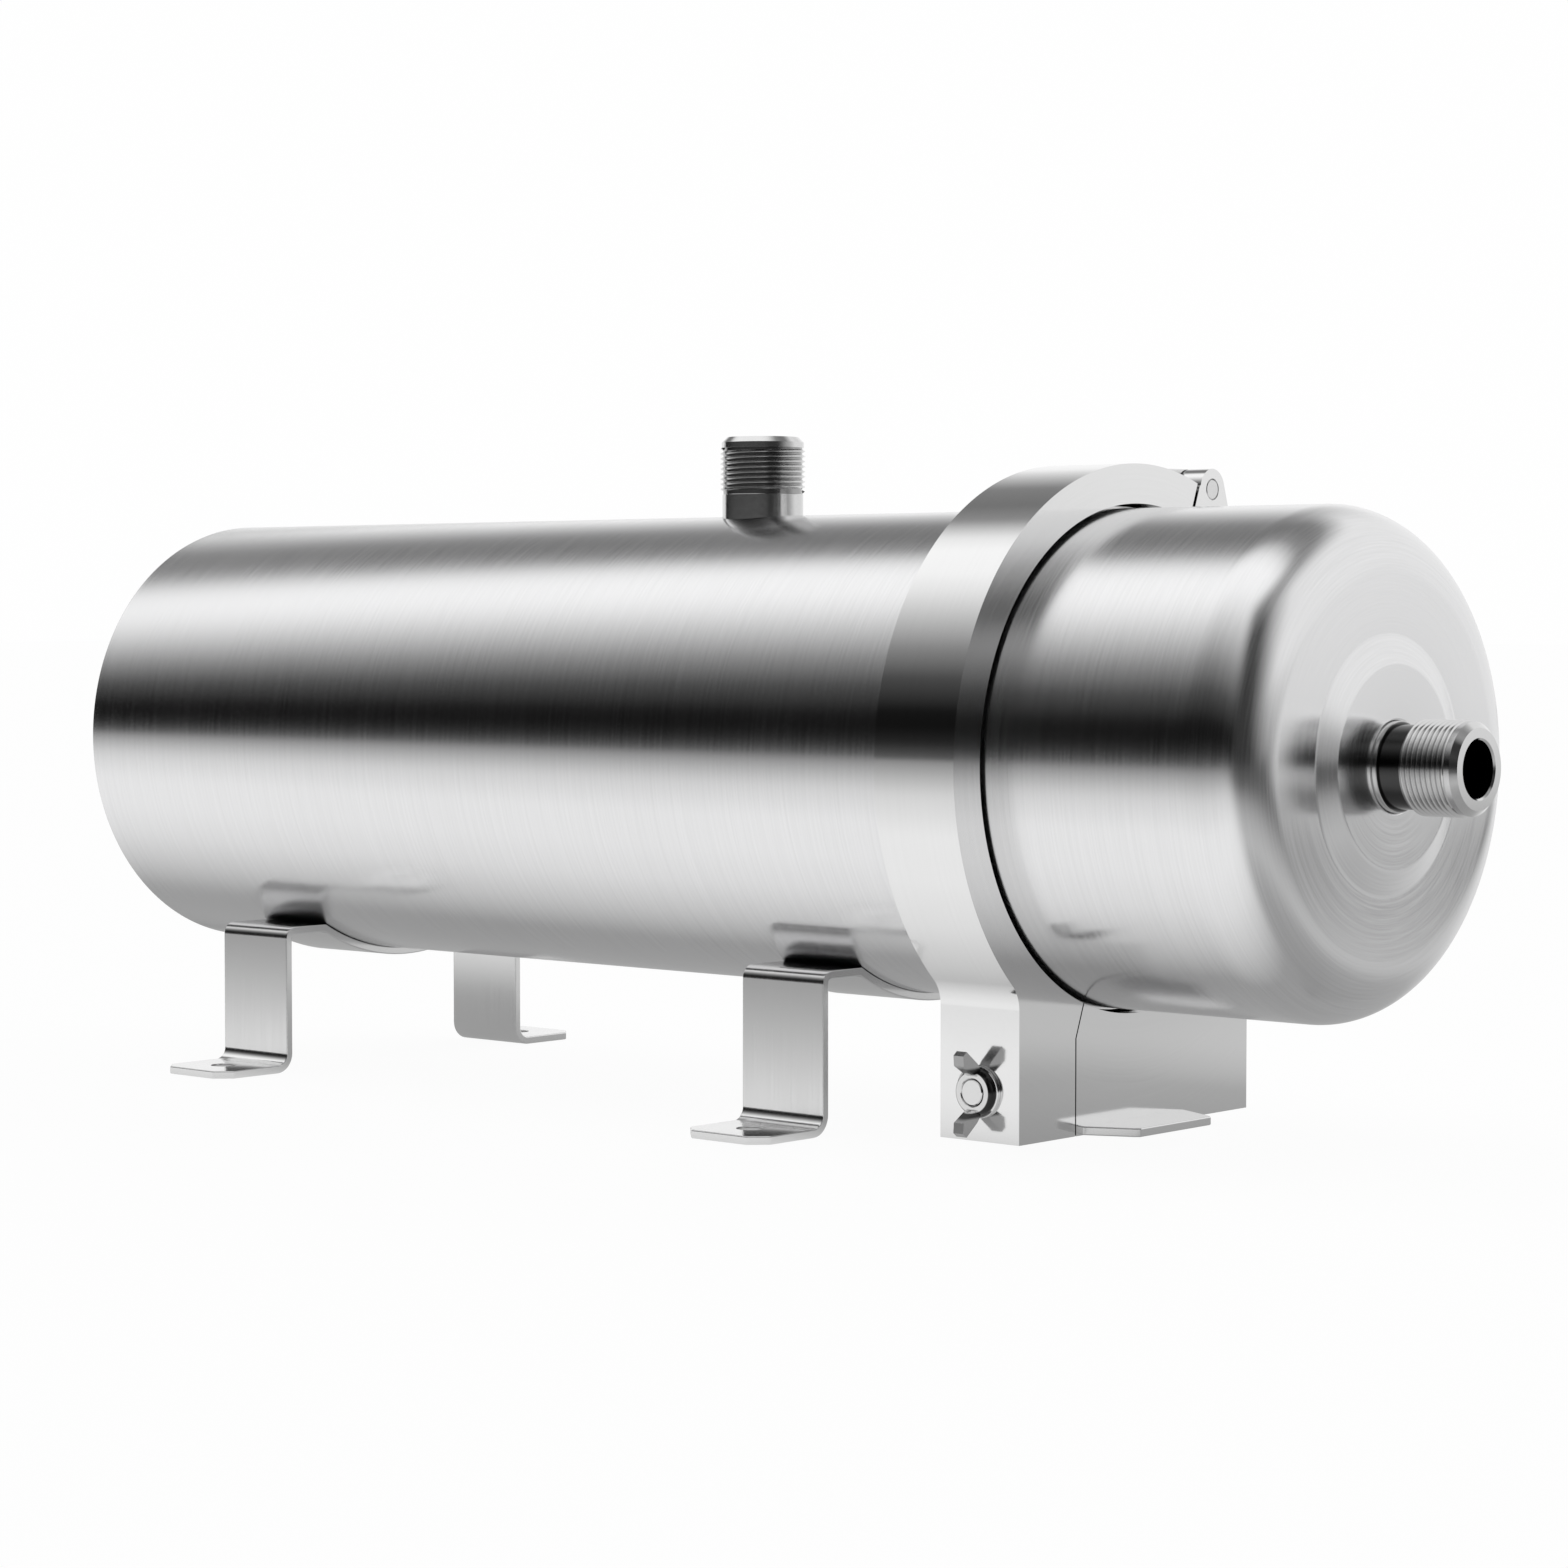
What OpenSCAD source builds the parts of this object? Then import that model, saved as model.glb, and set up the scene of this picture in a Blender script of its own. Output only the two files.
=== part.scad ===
// Ultrafiltration water purifier: a stainless housing with a hinged clamp and a hollow fibre cartridge.
// The origin is the middle of the four foot holes, on the floor. X runs along the barrel to the cap.

/* [Barrel] */
// Outer diameter of the barrel and of the cap
barrel_d = 114; // [108:0.5:120]
// Wall of the barrel, the cap and the back head
wall = 1.5; // [1:0.1:2.5]
// Clearance of the barrel above the floor
barrel_clear = 30.4; // [29:0.2:60]
// Rear rim of the barrel, behind the rear bracket's middle
rear_overhang = 49.7; // [40:0.5:80]
// Middle of the clamp, ahead of the front bracket's middle
clamp_ahead = 59.1; // [50:0.5:90]
// Axis of the top nipple, ahead of the origin
top_nipple_x = 48.6; // [20:0.2:70]
// Step from the barrel's rear rim to the back head's face
head_inset = 0.6; // [0.4:0.1:2]
// Length of the back head's skirt
head_skirt = 12; // [10:0.5:16]
// Outer radius of the back head's edge
head_edge_r = 4; // [3:0.5:6]

/* [Brackets] */
// Distance between the brackets' middles
bracket_pitch = 186; // [160:1:240]
// Width of the bent strip
strip_w = 25; // [18:0.5:34]
// Thickness of the bent strip
strip_t = 2; // [1.5:0.1:3]
// Width of the saddle that bears on the barrel
saddle_w = 58.6; // [40:0.2:66]
// Outer faces of a bracket's two legs
leg_span = 88; // [82:0.5:96]
// Distance between the two foot holes of a bracket
foot_hole_span = 108; // [104:0.5:116]
// Tips of a bracket's two feet
foot_span = 130; // [126:0.5:150]
// Diameter of a foot hole
foot_hole_d = 6.4; // [5:0.1:8]
// Bevel on the corners of a foot
foot_bevel = 4; // [2:0.5:6]
// Inner radius of a bend in the strip
bend_r = 2; // [1:0.2:4]

/* [Closure] */
// Width of the clamp along the barrel
clamp_w = 22.3; // [20:0.2:28]
// Thickness of the clamp ring outside its bore
clamp_wall = 9.6; // [8:0.1:14]
// Gap between the clamp ring and what it goes round
clamp_gap = 0.5; // [0.4:0.05:0.8]
// Height of the tapered rims above the barrel
rim_h = 4.5; // [4:0.1:6]
// Thickness of a rim at its edge
rim_t = 2.6; // [2:0.1:4]
// Neck between a rim and its tube
neck_len = 6; // [5:0.1:9]
// Clearance of the rims along the clamp's groove
groove_clear = 0.3; // [0.2:0.05:0.6]
// Thickness of the gasket between the rims
gasket_t = 2; // [1.5:0.1:3]
// Step from a rim's edge in to the gasket
gasket_inset = 0.8; // [0.4:0.1:2]
// Wall of the barrel flange inside the barrel
flange_wall = 3.5; // [2.6:0.1:6]
// Depth of the barrel flange inside the barrel
flange_depth = 24; // [20:0.5:30]
// Direction of the plane that splits the clamp, from +Y towards +Z
split_a = 69.5; // [66:0.5:72]
// Gap between the halves at the hinge
hinge_gap = 1; // [0.8:0.1:1.6]
// Gap between the lugs
lug_gap = 0.4; // [0.3:0.1:1]
// Width of the lug block
lug_span = 87.6; // [84:0.2:92]
// Parting face between the lugs, from the barrel's axis
lug_part_y = -23.2; // [-26:0.2:-21]
// Clearance of the lug block above the floor
lug_clear = 3.3; // [2:0.1:10]
// Radius of the fillet between the ring and the lug block
lug_fillet = 8; // [4:0.5:12]

/* [Hinge] */
// Hinge axis, outside the clamp ring
hinge_out = 1.13; // [0.8:0.01:1.4]
// Angle from the split plane back to the hinge axis
hinge_turn = 4.375; // [4:0.005:4.8]
// Angle from the split plane to the foot of the far knuckle
ear_turn = 11.2; // [10:0.1:14]
// Angle from the split plane to the foot of the near knuckle
tongue_turn = 13; // [11:0.1:16]
// Angle from the split plane to the pocket's back
pocket_turn = 4.2; // [4:0.1:5]
// Diameter of the hinge pin
pin_d = 5; // [4:0.1:6]
// Outer radius of the hinge knuckles
knuckle_r = 4.8; // [4.4:0.1:5]
// Width of the tongue between the ears
tongue_w = 9; // [7:0.2:12]
// Clearance of the pin in the tongue
pin_clear = 0.06; // [0.03:0.01:0.1]
// Clearance beside and round the tongue
tongue_clear = 0.35; // [0.3:0.05:0.6]

/* [Stud and wing nut] */
// Diameter of the stud
stud_d = 6; // [5:0.1:7]
// Stud axis, above the floor
stud_h = 14.4; // [13:0.1:16]
// Clearance of the stud in the near lug
lug_hole_clear = 0.15; // [0.1:0.05:0.5]
// Clearance of the near lug round the stud's tip as it swings
swing_clear = 0.2; // [0.1:0.05:0.5]
// Depth of the stud in the far lug
stud_depth = 22; // [15:0.5:40]
// How far the stud stands out of the near lug
stud_out = 2.8; // [2.7:0.1:4]
// Clearance of the stud in the nut
nut_clear = 0.06; // [0.03:0.01:0.1]
// Diameter of the washer under the nut
washer_d = 11.8; // [11.6:0.1:16]
// Clearance of the washer on the stud
washer_clear = 0.2; // [0.1:0.05:0.5]
// Thickness of the washer
washer_t = 0.9; // [0.6:0.1:1.6]
// Diameter of the nut's hub at the washer
hub_d = 10.6; // [10:0.1:11.4]
// Diameter of the nut's hub at its end
hub_end_d = 9.8; // [9:0.1:10]
// Height of the nut's hub
hub_h = 1.8; // [1.5:0.1:4]
// Distance between the tips of the wings
wing_span = 19; // [18:0.2:24]
// Height of the wing tips above the washer
wing_h = 6.6; // [6:0.2:10]
// Thickness of a wing
wing_t = 2.8; // [2:0.1:3.4]
// Width of a wing's end
wing_end_w = 3.2; // [2:0.1:5]
// Cut on a wing's corners
wing_cut = 1.2; // [0.6:0.1:2]
// Reach of the clamp's small plate
tab_reach = 11.8; // [8:0.2:20]
// Width of the small plate at its tip
tab_tip_w = 29; // [20:0.5:32]
// Width of the small plate at the lug block
tab_root_w = 39; // [34:0.5:40]
// Middle of the small plate, across from the barrel's axis
tab_y = -1; // [-1.5:0.1:6]
// Thickness of the small plate
tab_t = 2; // [1.5:0.1:3]
// Cut on the corners of the small plate's tip
tab_bevel = 1; // [0.5:0.1:3]
// Depth of the small plate under the lug block
tab_seat = 14; // [8:0.5:18]

/* [Cap] */
// Face of the cap, ahead of the clamp's middle
cap_len = 77.8; // [70:0.2:100]
// Outer radius of the cap's edge
cap_edge_r = 15; // [10:0.5:20]
// Depth of the cap flange inside the cap
cap_plug = 14; // [12:0.5:20]
// Diameter of the raised centre at its foot
boss_d = 57.4; // [52:0.2:64]
// Diameter of the raised centre's flat top
boss_top_d = 45.2; // [40:0.2:50]
// Height of the raised centre
boss_h = 2; // [1.5:0.1:4]

/* [Nipples] */
// Outer diameter of the pipe thread
thread_d = 20.956; // [20:0.001:22]
// Length of the thread
thread_len = 14; // [12:0.1:16]
// Diameter of the plain shank
shank_d = 20; // [19:0.1:22]
// Diameter of the groove behind the thread
groove_d = 18.4; // [17:0.1:19]
// Length of the groove behind the thread of an end nipple
groove_len = 5.4; // [3:0.1:8]
// How far a nipple's root stands inside its wall
root_len = 2; // [1:0.1:4]
// Bore of a nipple
nipple_bore = 12.6; // [10:0.1:14]
// Bevel at the tip of a nipple
tip_bevel = 1.6; // [1:0.1:2]
// Reach of the top nipple above the barrel
top_reach = 19.4; // [19:0.1:30]
// Reach of the end nipples beyond their faces
end_reach = 20.6; // [19:0.1:30]

/* [Cartridge] */
// Thickness of the front collar round the cartridge tube
collar_wall = 10.5; // [9:0.1:12]
// Length of a collar along the cartridge tube
collar_len = 14; // [12:0.5:20]
// Height of the front collar's lip above the flange's bore
lip_h = 2; // [1.5:0.1:2.4]
// Thickness of the front collar's lip
lip_t = 3; // [2:0.1:5]
// Clearance of the collars along the barrel
lip_clear = 0.2; // [0.1:0.05:0.5]
// How far the cartridge tube stands out of the barrel's rim
shell_proud = 2; // [1:0.1:6]
// Clearance of the cartridge tube's back end in the seat
shell_clear = 1; // [0.5:0.1:4]
// Wall of the cartridge tube
shell_wall = 2.5; // [2:0.1:4]
// Diameter of a hole in the cartridge tube
shell_hole_d = 8; // [5:0.5:12]
// Rings of holes in the cartridge tube
shell_rows = 5; // [3:1:7]
// Holes in each ring
shell_holes = 8; // [6:1:10]
// Thickness of the resin discs
potting_t = 20; // [14:0.5:30]
// Diameter of one strand of fibres
strand_d = 6; // [4:0.1:7]
// Clearance between the strands and the tube
strand_clear = 1; // [0.5:0.1:3]
// Distance between the strands
strand_pitch = 9.6; // [8.4:0.1:12]
// Wall of the back seat
seat_wall = 7.5; // [6:0.1:9]
// Ledge at the bottom of the back seat
seat_lip = 3; // [2:0.1:5]
// Length of the back seat
seat_len = 16; // [14:0.5:24]
// Section of the sealing rings
ring_d = 3.6; // [3:0.1:4]
// Clearance of a sealing ring along its groove
ring_clear = 0.2; // [0.1:0.05:0.4]
// Middle of a sealing ring from its collar's back
ring_z = 6; // [4:0.5:9]
// Clearance between the collars and their bores
collar_clear = 0.5; // [0.3:0.05:0.8]

/* [Hidden] */
$fn = 96;
snug = 0.02;
lap = 0.3;
barrel_r = barrel_d / 2;
bore_r = barrel_r - wall;
axis_h = barrel_r + barrel_clear;
rear_x = -bracket_pitch / 2 - rear_overhang;
clamp_x = bracket_pitch / 2 + clamp_ahead;
barrel_front_x = clamp_x - gasket_t / 2 - neck_len;
cap_back_x = clamp_x + gasket_t / 2 + neck_len;
cap_face_x = clamp_x + cap_len;
boss_x = cap_face_x + boss_h;
head_x = rear_x + head_inset;
rim_r = barrel_r + rim_h;
taper = rim_h - clamp_gap;
clamp_bore_r = barrel_r + clamp_gap;
clamp_r = clamp_bore_r + clamp_wall;
far = 4 * clamp_r;
lug_r = lug_span / 2;
lug_bottom = lug_clear - axis_h;
stud_drop = axis_h - stud_h;
hinge_r = clamp_r + hinge_out;
hinge_p = hinge_r * [cos(split_a - hinge_turn), sin(split_a - hinge_turn)];
flange_back_x = barrel_front_x - flange_depth;
flange_bore_r = bore_r - flange_wall;
seat_back_x = head_x + wall + head_skirt;
seat_bore_r = bore_r - seat_wall;
front_collar_r = flange_bore_r - collar_clear;
rear_collar_r = seat_bore_r - collar_clear;
lip_r = flange_bore_r + lip_h;
front_collar_x = clamp_x - gasket_t / 2 - lip_t - collar_len;
rear_collar_x = seat_back_x + seat_lip + lip_clear;
shell_r = front_collar_r - collar_wall;
shell_back_x = seat_back_x + seat_lip + shell_clear;
shell_front_x = clamp_x + gasket_t / 2 + shell_proud;

// Turns a shape about Z into one about the barrel's axis, with its Z along X
module about_axis(x = 0) {
    translate([x, 0, axis_h]) rotate([0, 90, 0]) children();
}

// Turns an outline of [across, up] from the barrel's axis into a plate from x0 to x1
module plate(x0, x1) {
    translate([x0, 0, axis_h]) rotate([90, 0, 90]) linear_extrude(x1 - x0) children();
}

// Turned ring from outlines of [radius, along]
module turned(x, outline) {
    about_axis(x) rotate_extrude() polygon(outline);
}

// Barrel

module barrel_tube() {
    color("gainsboro") difference() {
        about_axis(rear_x) cylinder(h = barrel_front_x - rear_x, r = barrel_r);
        about_axis(rear_x - 1) cylinder(h = barrel_front_x - rear_x + 2, r = bore_r);
        translate([top_nipple_x, 0, axis_h]) cylinder(h = barrel_r + top_reach, d = shank_d + 2 * snug);
    }
}

// Pressed cup with a rounded edge, its face towards -Z
module pressed_cup(outer_r, edge_r, depth) {
    rotate_extrude() difference() {
        union() {
            square([outer_r - edge_r, wall]);
            translate([outer_r - wall, edge_r]) square([wall, depth - edge_r]);
            translate([outer_r - edge_r, edge_r]) intersection() {
                circle(edge_r);
                translate([0, -edge_r]) square(edge_r);
            }
        }
        translate([outer_r - edge_r, edge_r]) circle(edge_r - wall);
    }
}

module rear_head() {
    color("gainsboro") difference() {
        about_axis(head_x) pressed_cup(bore_r - snug, head_edge_r, head_skirt);
        about_axis(head_x - 1) cylinder(h = wall + 2, d = shank_d + 2 * snug);
    }
}

// Threaded nipple that stands on z = 0 and reaches to z = reach, with its root below
module nipple(reach, root, relief) {
    thread_z = reach - thread_len;
    groove_z = thread_z - relief;
    difference() {
        union() {
            translate([0, 0, -root]) cylinder(h = root + groove_z, d = shank_d);
            if (relief > 0) translate([0, 0, groove_z]) cylinder(h = relief, d = groove_d);
            translate([0, 0, thread_z]) cylinder(h = thread_len - tip_bevel, d = thread_d);
            translate([0, 0, reach - tip_bevel])
                cylinder(h = tip_bevel, d1 = thread_d, d2 = thread_d - 2 * tip_bevel);
        }
        translate([0, 0, -root - 1]) cylinder(h = root + reach + 2, d = nipple_bore);
    }
}

module top_nipple() {
    color("silver") translate([top_nipple_x, 0, axis_h + barrel_r]) nipple(top_reach, wall + root_len, 0);
}

module rear_nipple() {
    color("silver") translate([head_x, 0, axis_h]) rotate([0, -90, 0]) nipple(end_reach, wall + root_len, groove_len);
}

module cap_nipple() {
    color("silver") translate([boss_x, 0, axis_h]) rotate([0, 90, 0]) nipple(end_reach, wall + root_len, groove_len);
}

// Machined ring in the mouth of the barrel: plug, neck and tapered rim, with a step for the collar
module barrel_flange() {
    face = flange_depth + neck_len;
    color("silver") turned(flange_back_x, [
        [flange_bore_r, 0],
        [bore_r - snug, 0],
        [bore_r - snug, flange_depth],
        [barrel_r, flange_depth],
        [barrel_r, face - rim_t - taper / 2],
        [barrel_r + clamp_gap, face - rim_t - taper / 2],
        [rim_r, face - rim_t],
        [rim_r, face],
        [lip_r + collar_clear, face],
        [lip_r + collar_clear, face - lip_t - lip_clear],
        [flange_bore_r, face - lip_t - lip_clear]]);
}

module cap_flange() {
    color("silver") turned(clamp_x + gasket_t / 2, [
        [lip_r + collar_clear, 0],
        [rim_r, 0],
        [rim_r, rim_t],
        [barrel_r + clamp_gap, rim_t + taper / 2],
        [barrel_r, rim_t + taper / 2],
        [barrel_r, neck_len],
        [bore_r - snug, neck_len],
        [bore_r - snug, neck_len + cap_plug],
        [lip_r + collar_clear, neck_len + cap_plug]]);
}

module rear_seat() {
    color("silver") turned(seat_back_x, [
        [seat_bore_r - seat_lip, 0],
        [bore_r - snug, 0],
        [bore_r - snug, seat_len],
        [seat_bore_r, seat_len],
        [seat_bore_r, seat_lip],
        [seat_bore_r - seat_lip, seat_lip]]);
}

// Brackets

// Quarter of a bend about a point, from angle a over 90 degrees
module bend(at, a) {
    translate(at) rotate(a) intersection() {
        difference() {
            circle(bend_r + strip_t);
            circle(bend_r);
        }
        square(bend_r + strip_t);
    }
}

// One leg with its shelf and its foot, outlined from the floor at the right side
module leg_outline() {
    shelf_y = saddle_w / 2 - lap;
    shelf_z = axis_h - sqrt(pow(barrel_r + strip_t, 2) - pow(saddle_w / 2, 2));
    leg_y = leg_span / 2;
    bend_out = bend_r + strip_t;
    translate([shelf_y, shelf_z]) square([leg_y - bend_out - shelf_y, strip_t]);
    bend([leg_y - bend_out, shelf_z - bend_r], 0);
    translate([leg_y - strip_t, bend_out]) square([strip_t, shelf_z - bend_r - bend_out]);
    bend([leg_y + bend_r, bend_out], 180);
    translate([leg_y + bend_r, 0]) square([foot_span / 2 - leg_y - bend_r, strip_t]);
}

module bracket_outline() {
    for (side = [0, 1]) mirror([side, 0]) translate([0, -axis_h]) leg_outline();
    difference() {
        circle(barrel_r + strip_t);
        circle(barrel_r);
        translate([-barrel_d, 0]) square([2 * barrel_d, barrel_d]);
        for (side = [0, 1]) mirror([side, 0]) translate([saddle_w / 2, -barrel_d]) square(2 * barrel_d);
    }
}

// Bracket about the middle of its width, at x
module bracket(x) {
    color("silver") difference() {
        plate(x - strip_w / 2, x + strip_w / 2) bracket_outline();
        for (side = [-1, 1]) {
            translate([x, side * foot_hole_span / 2, -1]) cylinder(h = strip_t + 2, d = foot_hole_d);
            for (end = [-1, 1]) translate([x + end * strip_w / 2, side * foot_span / 2, strip_t / 2])
                rotate([0, 0, 45]) cube([foot_bevel * sqrt(2), foot_bevel * sqrt(2), strip_t + 1], true);
        }
    }
}

module rear_bracket() {
    bracket(-bracket_pitch / 2);
}

module front_bracket() {
    bracket(bracket_pitch / 2);
}

// Clamp

// Outline of everything on one side of the split plane: side 1 is the far side
module split_side(side, gap) {
    rotate(split_a) translate([-far, side > 0 ? -far : gap / 2]) square([2 * far, far - gap / 2]);
}

// Outline of the lug block with its fillets, without the ring's bore
module lug_outline() {
    fillet_y = lug_r + lug_fillet;
    fillet_z = -sqrt(pow(clamp_r + lug_fillet, 2) - pow(fillet_y, 2));
    translate([-lug_r, lug_bottom]) square([lug_span, fillet_z - lug_bottom]);
    for (side = [0, 1]) mirror([side, 0]) difference() {
        polygon([[0, 0],
            [0, fillet_z],
            [lug_r, fillet_z],
            [fillet_y, fillet_z] * clamp_r / (clamp_r + lug_fillet)]);
        translate([fillet_y, fillet_z]) circle(lug_fillet);
    }
}

// Ring and lug block, cut by the bore
module clamp_outline() {
    difference() {
        union() {
            circle(clamp_r);
            lug_outline();
        }
        circle(clamp_bore_r);
    }
}

// Groove for the two rims, turned about the barrel's axis
module rim_groove() {
    half = gasket_t / 2 + rim_t + groove_clear;
    turned(clamp_x, [
        [clamp_bore_r - 1, -half - taper / 2],
        [clamp_bore_r, -half - taper / 2],
        [rim_r + clamp_gap, -half],
        [rim_r + clamp_gap, half],
        [clamp_bore_r, half + taper / 2],
        [clamp_bore_r - 1, half + taper / 2]]);
}

// Where the lugs part: below the ring it is an upright plane at lug_part_y
module lug_side(side, gap) {
    split_z = lug_part_y * tan(split_a);
    y0 = side > 0 ? lug_part_y + gap / 2 : -far;
    y1 = side > 0 ? far : lug_part_y - gap / 2;
    translate([y0, -far]) square([y1 - y0, far + split_z]);
}

// One half's outline: above the parting corner it follows the split plane
module half_outline(side, gap) {
    split_z = lug_part_y * tan(split_a);
    intersection() {
        clamp_outline();
        union() {
            intersection() {
                split_side(side, gap);
                translate([-far, split_z - lap]) square(2 * far);
            }
            lug_side(side, gap);
        }
    }
}

// Knuckle on the far half: round at the pin, with a straight back down to the ring
module ear_outline() {
    foot_a = split_a - ear_turn;
    base_r = clamp_r - lap;
    foot = clamp_r * [cos(foot_a), sin(foot_a)];
    away = hinge_p - foot;
    lean = atan2(-away[1], -away[0]) + acos(knuckle_r / norm(away));
    translate(hinge_p) circle(knuckle_r);
    polygon([foot,
        hinge_p + knuckle_r * [cos(lean), sin(lean)],
        hinge_p,
        base_r * [cos(split_a - hinge_turn / 2), sin(split_a - hinge_turn / 2)],
        base_r * [cos(foot_a), sin(foot_a)]]);
}

// Knuckle on the near half: round at the pin, with a straight top down to the ring
module tongue_outline() {
    foot_a = split_a + tongue_turn;
    neck_r = hinge_r - knuckle_r + lap;
    foot = clamp_r * [cos(foot_a), sin(foot_a)];
    away = hinge_p - foot;
    lean = atan2(-away[1], -away[0]) - acos(knuckle_r / norm(away));
    translate(hinge_p) circle(knuckle_r);
    polygon([foot,
        hinge_p + knuckle_r * [cos(lean), sin(lean)],
        hinge_p,
        neck_r * [cos(split_a - hinge_turn), sin(split_a - hinge_turn)],
        neck_r * [cos(foot_a), sin(foot_a)]]);
}

// Pocket in the far half that the tongue turns in
module pocket_outline() {
    outer = hinge_r + 2 * knuckle_r;
    translate(hinge_p) circle(knuckle_r + tongue_clear);
    polygon([rim_r * [cos(split_a - pocket_turn), sin(split_a - pocket_turn)],
        hinge_p,
        outer * [cos(split_a), sin(split_a)],
        outer * [cos(split_a + pocket_turn), sin(split_a + pocket_turn)],
        rim_r * [cos(split_a + pocket_turn), sin(split_a + pocket_turn)]]);
}

module hinge_bore(d) {
    translate([clamp_x - clamp_w, hinge_p[0], axis_h + hinge_p[1]]) rotate([0, 90, 0])
        cylinder(h = 2 * clamp_w, d = d);
}

// Hole along the stud's axis from y0 to y1
module stud_bore(y0, y1, d) {
    translate([clamp_x, y1, axis_h - stud_drop]) rotate([90, 0, 0]) cylinder(h = y1 - y0, d = d);
}

module clamp_far_half() {
    tongue_half = tongue_w / 2 + tongue_clear;
    color("silver") difference() {
        union() {
            plate(clamp_x - clamp_w / 2, clamp_x + clamp_w / 2) half_outline(1, lug_gap);
            plate(clamp_x - clamp_w / 2, clamp_x + clamp_w / 2) ear_outline();
        }
        plate(clamp_x - tongue_half, clamp_x + tongue_half) pocket_outline();
        rim_groove();
        about_axis(clamp_x - clamp_w) cylinder(h = 2 * clamp_w, r = clamp_bore_r);
        hinge_bore(pin_d + 2 * snug);
        stud_bore(lug_part_y - 1, lug_part_y + lug_gap / 2 + stud_depth, stud_d + 2 * snug);
        tab_recess();
    }
}

// Opens the split at the hinge to its full gap
module hinge_slit() {
    rotate(split_a) translate([clamp_bore_r - 1, 0]) square([2 * clamp_wall, hinge_gap - lug_gap / 2]);
}

// Room under the near lug's hole that lets the half swing clear of the stud
module stud_relief() {
    swing = norm([lug_r + stud_out, stud_drop + stud_d / 2] + hinge_p) + swing_clear;
    half_w = stud_d / 2 + lug_hole_clear;
    plate(clamp_x - half_w, clamp_x + half_w) intersection() {
        translate(hinge_p) circle(swing);
        translate([-lug_r - 1, -stud_drop - 2 * stud_d]) square([lug_r + 1, 2 * stud_d]);
    }
}

module clamp_near_half() {
    color("silver") difference() {
        union() {
            difference() {
                plate(clamp_x - clamp_w / 2, clamp_x + clamp_w / 2) half_outline(-1, lug_gap);
                plate(clamp_x - clamp_w, clamp_x + clamp_w) hinge_slit();
            }
            plate(clamp_x - tongue_w / 2, clamp_x + tongue_w / 2) tongue_outline();
        }
        rim_groove();
        hinge_bore(pin_d + 2 * pin_clear);
        stud_bore(-lug_r - 1, lug_part_y + 1, stud_d + 2 * lug_hole_clear);
        stud_relief();
    }
}

module hinge_pin() {
    color("lightgray") translate([clamp_x - clamp_w / 2, hinge_p[0], axis_h + hinge_p[1]])
        rotate([0, 90, 0]) cylinder(h = clamp_w, d = pin_d);
}

module clamp_stud() {
    color("gray") stud_bore(-lug_r - stud_out, lug_part_y + lug_gap / 2 + stud_depth, stud_d);
}

// Wing of the nut, outlined as [out of the lug, away from the stud]
module wing_outline() {
    tip = wing_span / 2;
    root = hub_end_d / 2 - wing_cut;
    polygon([[0, root],
        [0, hub_d / 2 - lap],
        [wing_h - wing_cut, tip],
        [wing_h, tip - wing_cut],
        [wing_h - lap, tip - wing_end_w],
        [hub_h, root]]);
}

module stud_washer() {
    color("silver") difference() {
        stud_bore(-lug_r - washer_t, -lug_r, washer_d);
        stud_bore(-lug_r - washer_t - 1, -lug_r + 1, stud_d + 2 * washer_clear);
    }
}

module wing_nut() {
    nut_y = -lug_r - washer_t;
    color("dimgray") translate([clamp_x, nut_y, axis_h - stud_drop]) rotate([90, 0, 0]) difference() {
        union() {
            cylinder(h = hub_h, d1 = hub_d, d2 = hub_end_d);
            for (side = [-1, 1]) rotate([0, 0, side * 90]) translate([0, wing_t / 2, 0])
                rotate([90, 0, 0]) linear_extrude(wing_t) wing_swap() wing_outline();
        }
        translate([0, 0, -1]) cylinder(h = hub_h + wing_h, d = stud_d + 2 * nut_clear);
    }
}

// Swaps the two directions of an outline
module wing_swap() {
    mirror([1, -1]) children();
}

// Outline of the small plate from above, from its seat under the lug block
module tab_outline() {
    polygon([[-tab_seat, -tab_root_w / 2],
        [0, -tab_root_w / 2],
        [tab_reach - tab_bevel, -tab_tip_w / 2],
        [tab_reach, -tab_tip_w / 2 + tab_bevel],
        [tab_reach, tab_tip_w / 2 - tab_bevel],
        [tab_reach - tab_bevel, tab_tip_w / 2],
        [0, tab_root_w / 2],
        [-tab_seat, tab_root_w / 2]]);
}

module clamp_tab() {
    color("silver") translate([clamp_x + clamp_w / 2, tab_y, lug_clear]) linear_extrude(tab_t) tab_outline();
}

// Seat of the small plate in the lug block
module tab_recess() {
    translate([clamp_x + clamp_w / 2 - tab_seat, tab_y - tab_root_w / 2, lug_clear - 1])
        cube([tab_seat + 1, tab_root_w, tab_t + 1]);
}

// Cap

module end_cap() {
    shell = cap_face_x - cap_back_x;
    boss_foot_d = boss_d + (boss_d - boss_top_d) * wall / boss_h;
    color("gainsboro") difference() {
        union() {
            about_axis(cap_face_x) mirror([0, 0, 1]) pressed_cup(barrel_r, cap_edge_r, shell);
            about_axis(cap_face_x - wall) cylinder(h = wall + boss_h, d1 = boss_foot_d, d2 = boss_top_d);
        }
        about_axis(cap_face_x - wall - 1) cylinder(h = boss_h + 1, d = boss_top_d - 2 * wall);
        about_axis(cap_face_x - wall - 1) cylinder(h = wall + boss_h + 2, d = shank_d + 2 * snug);
    }
}

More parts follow.
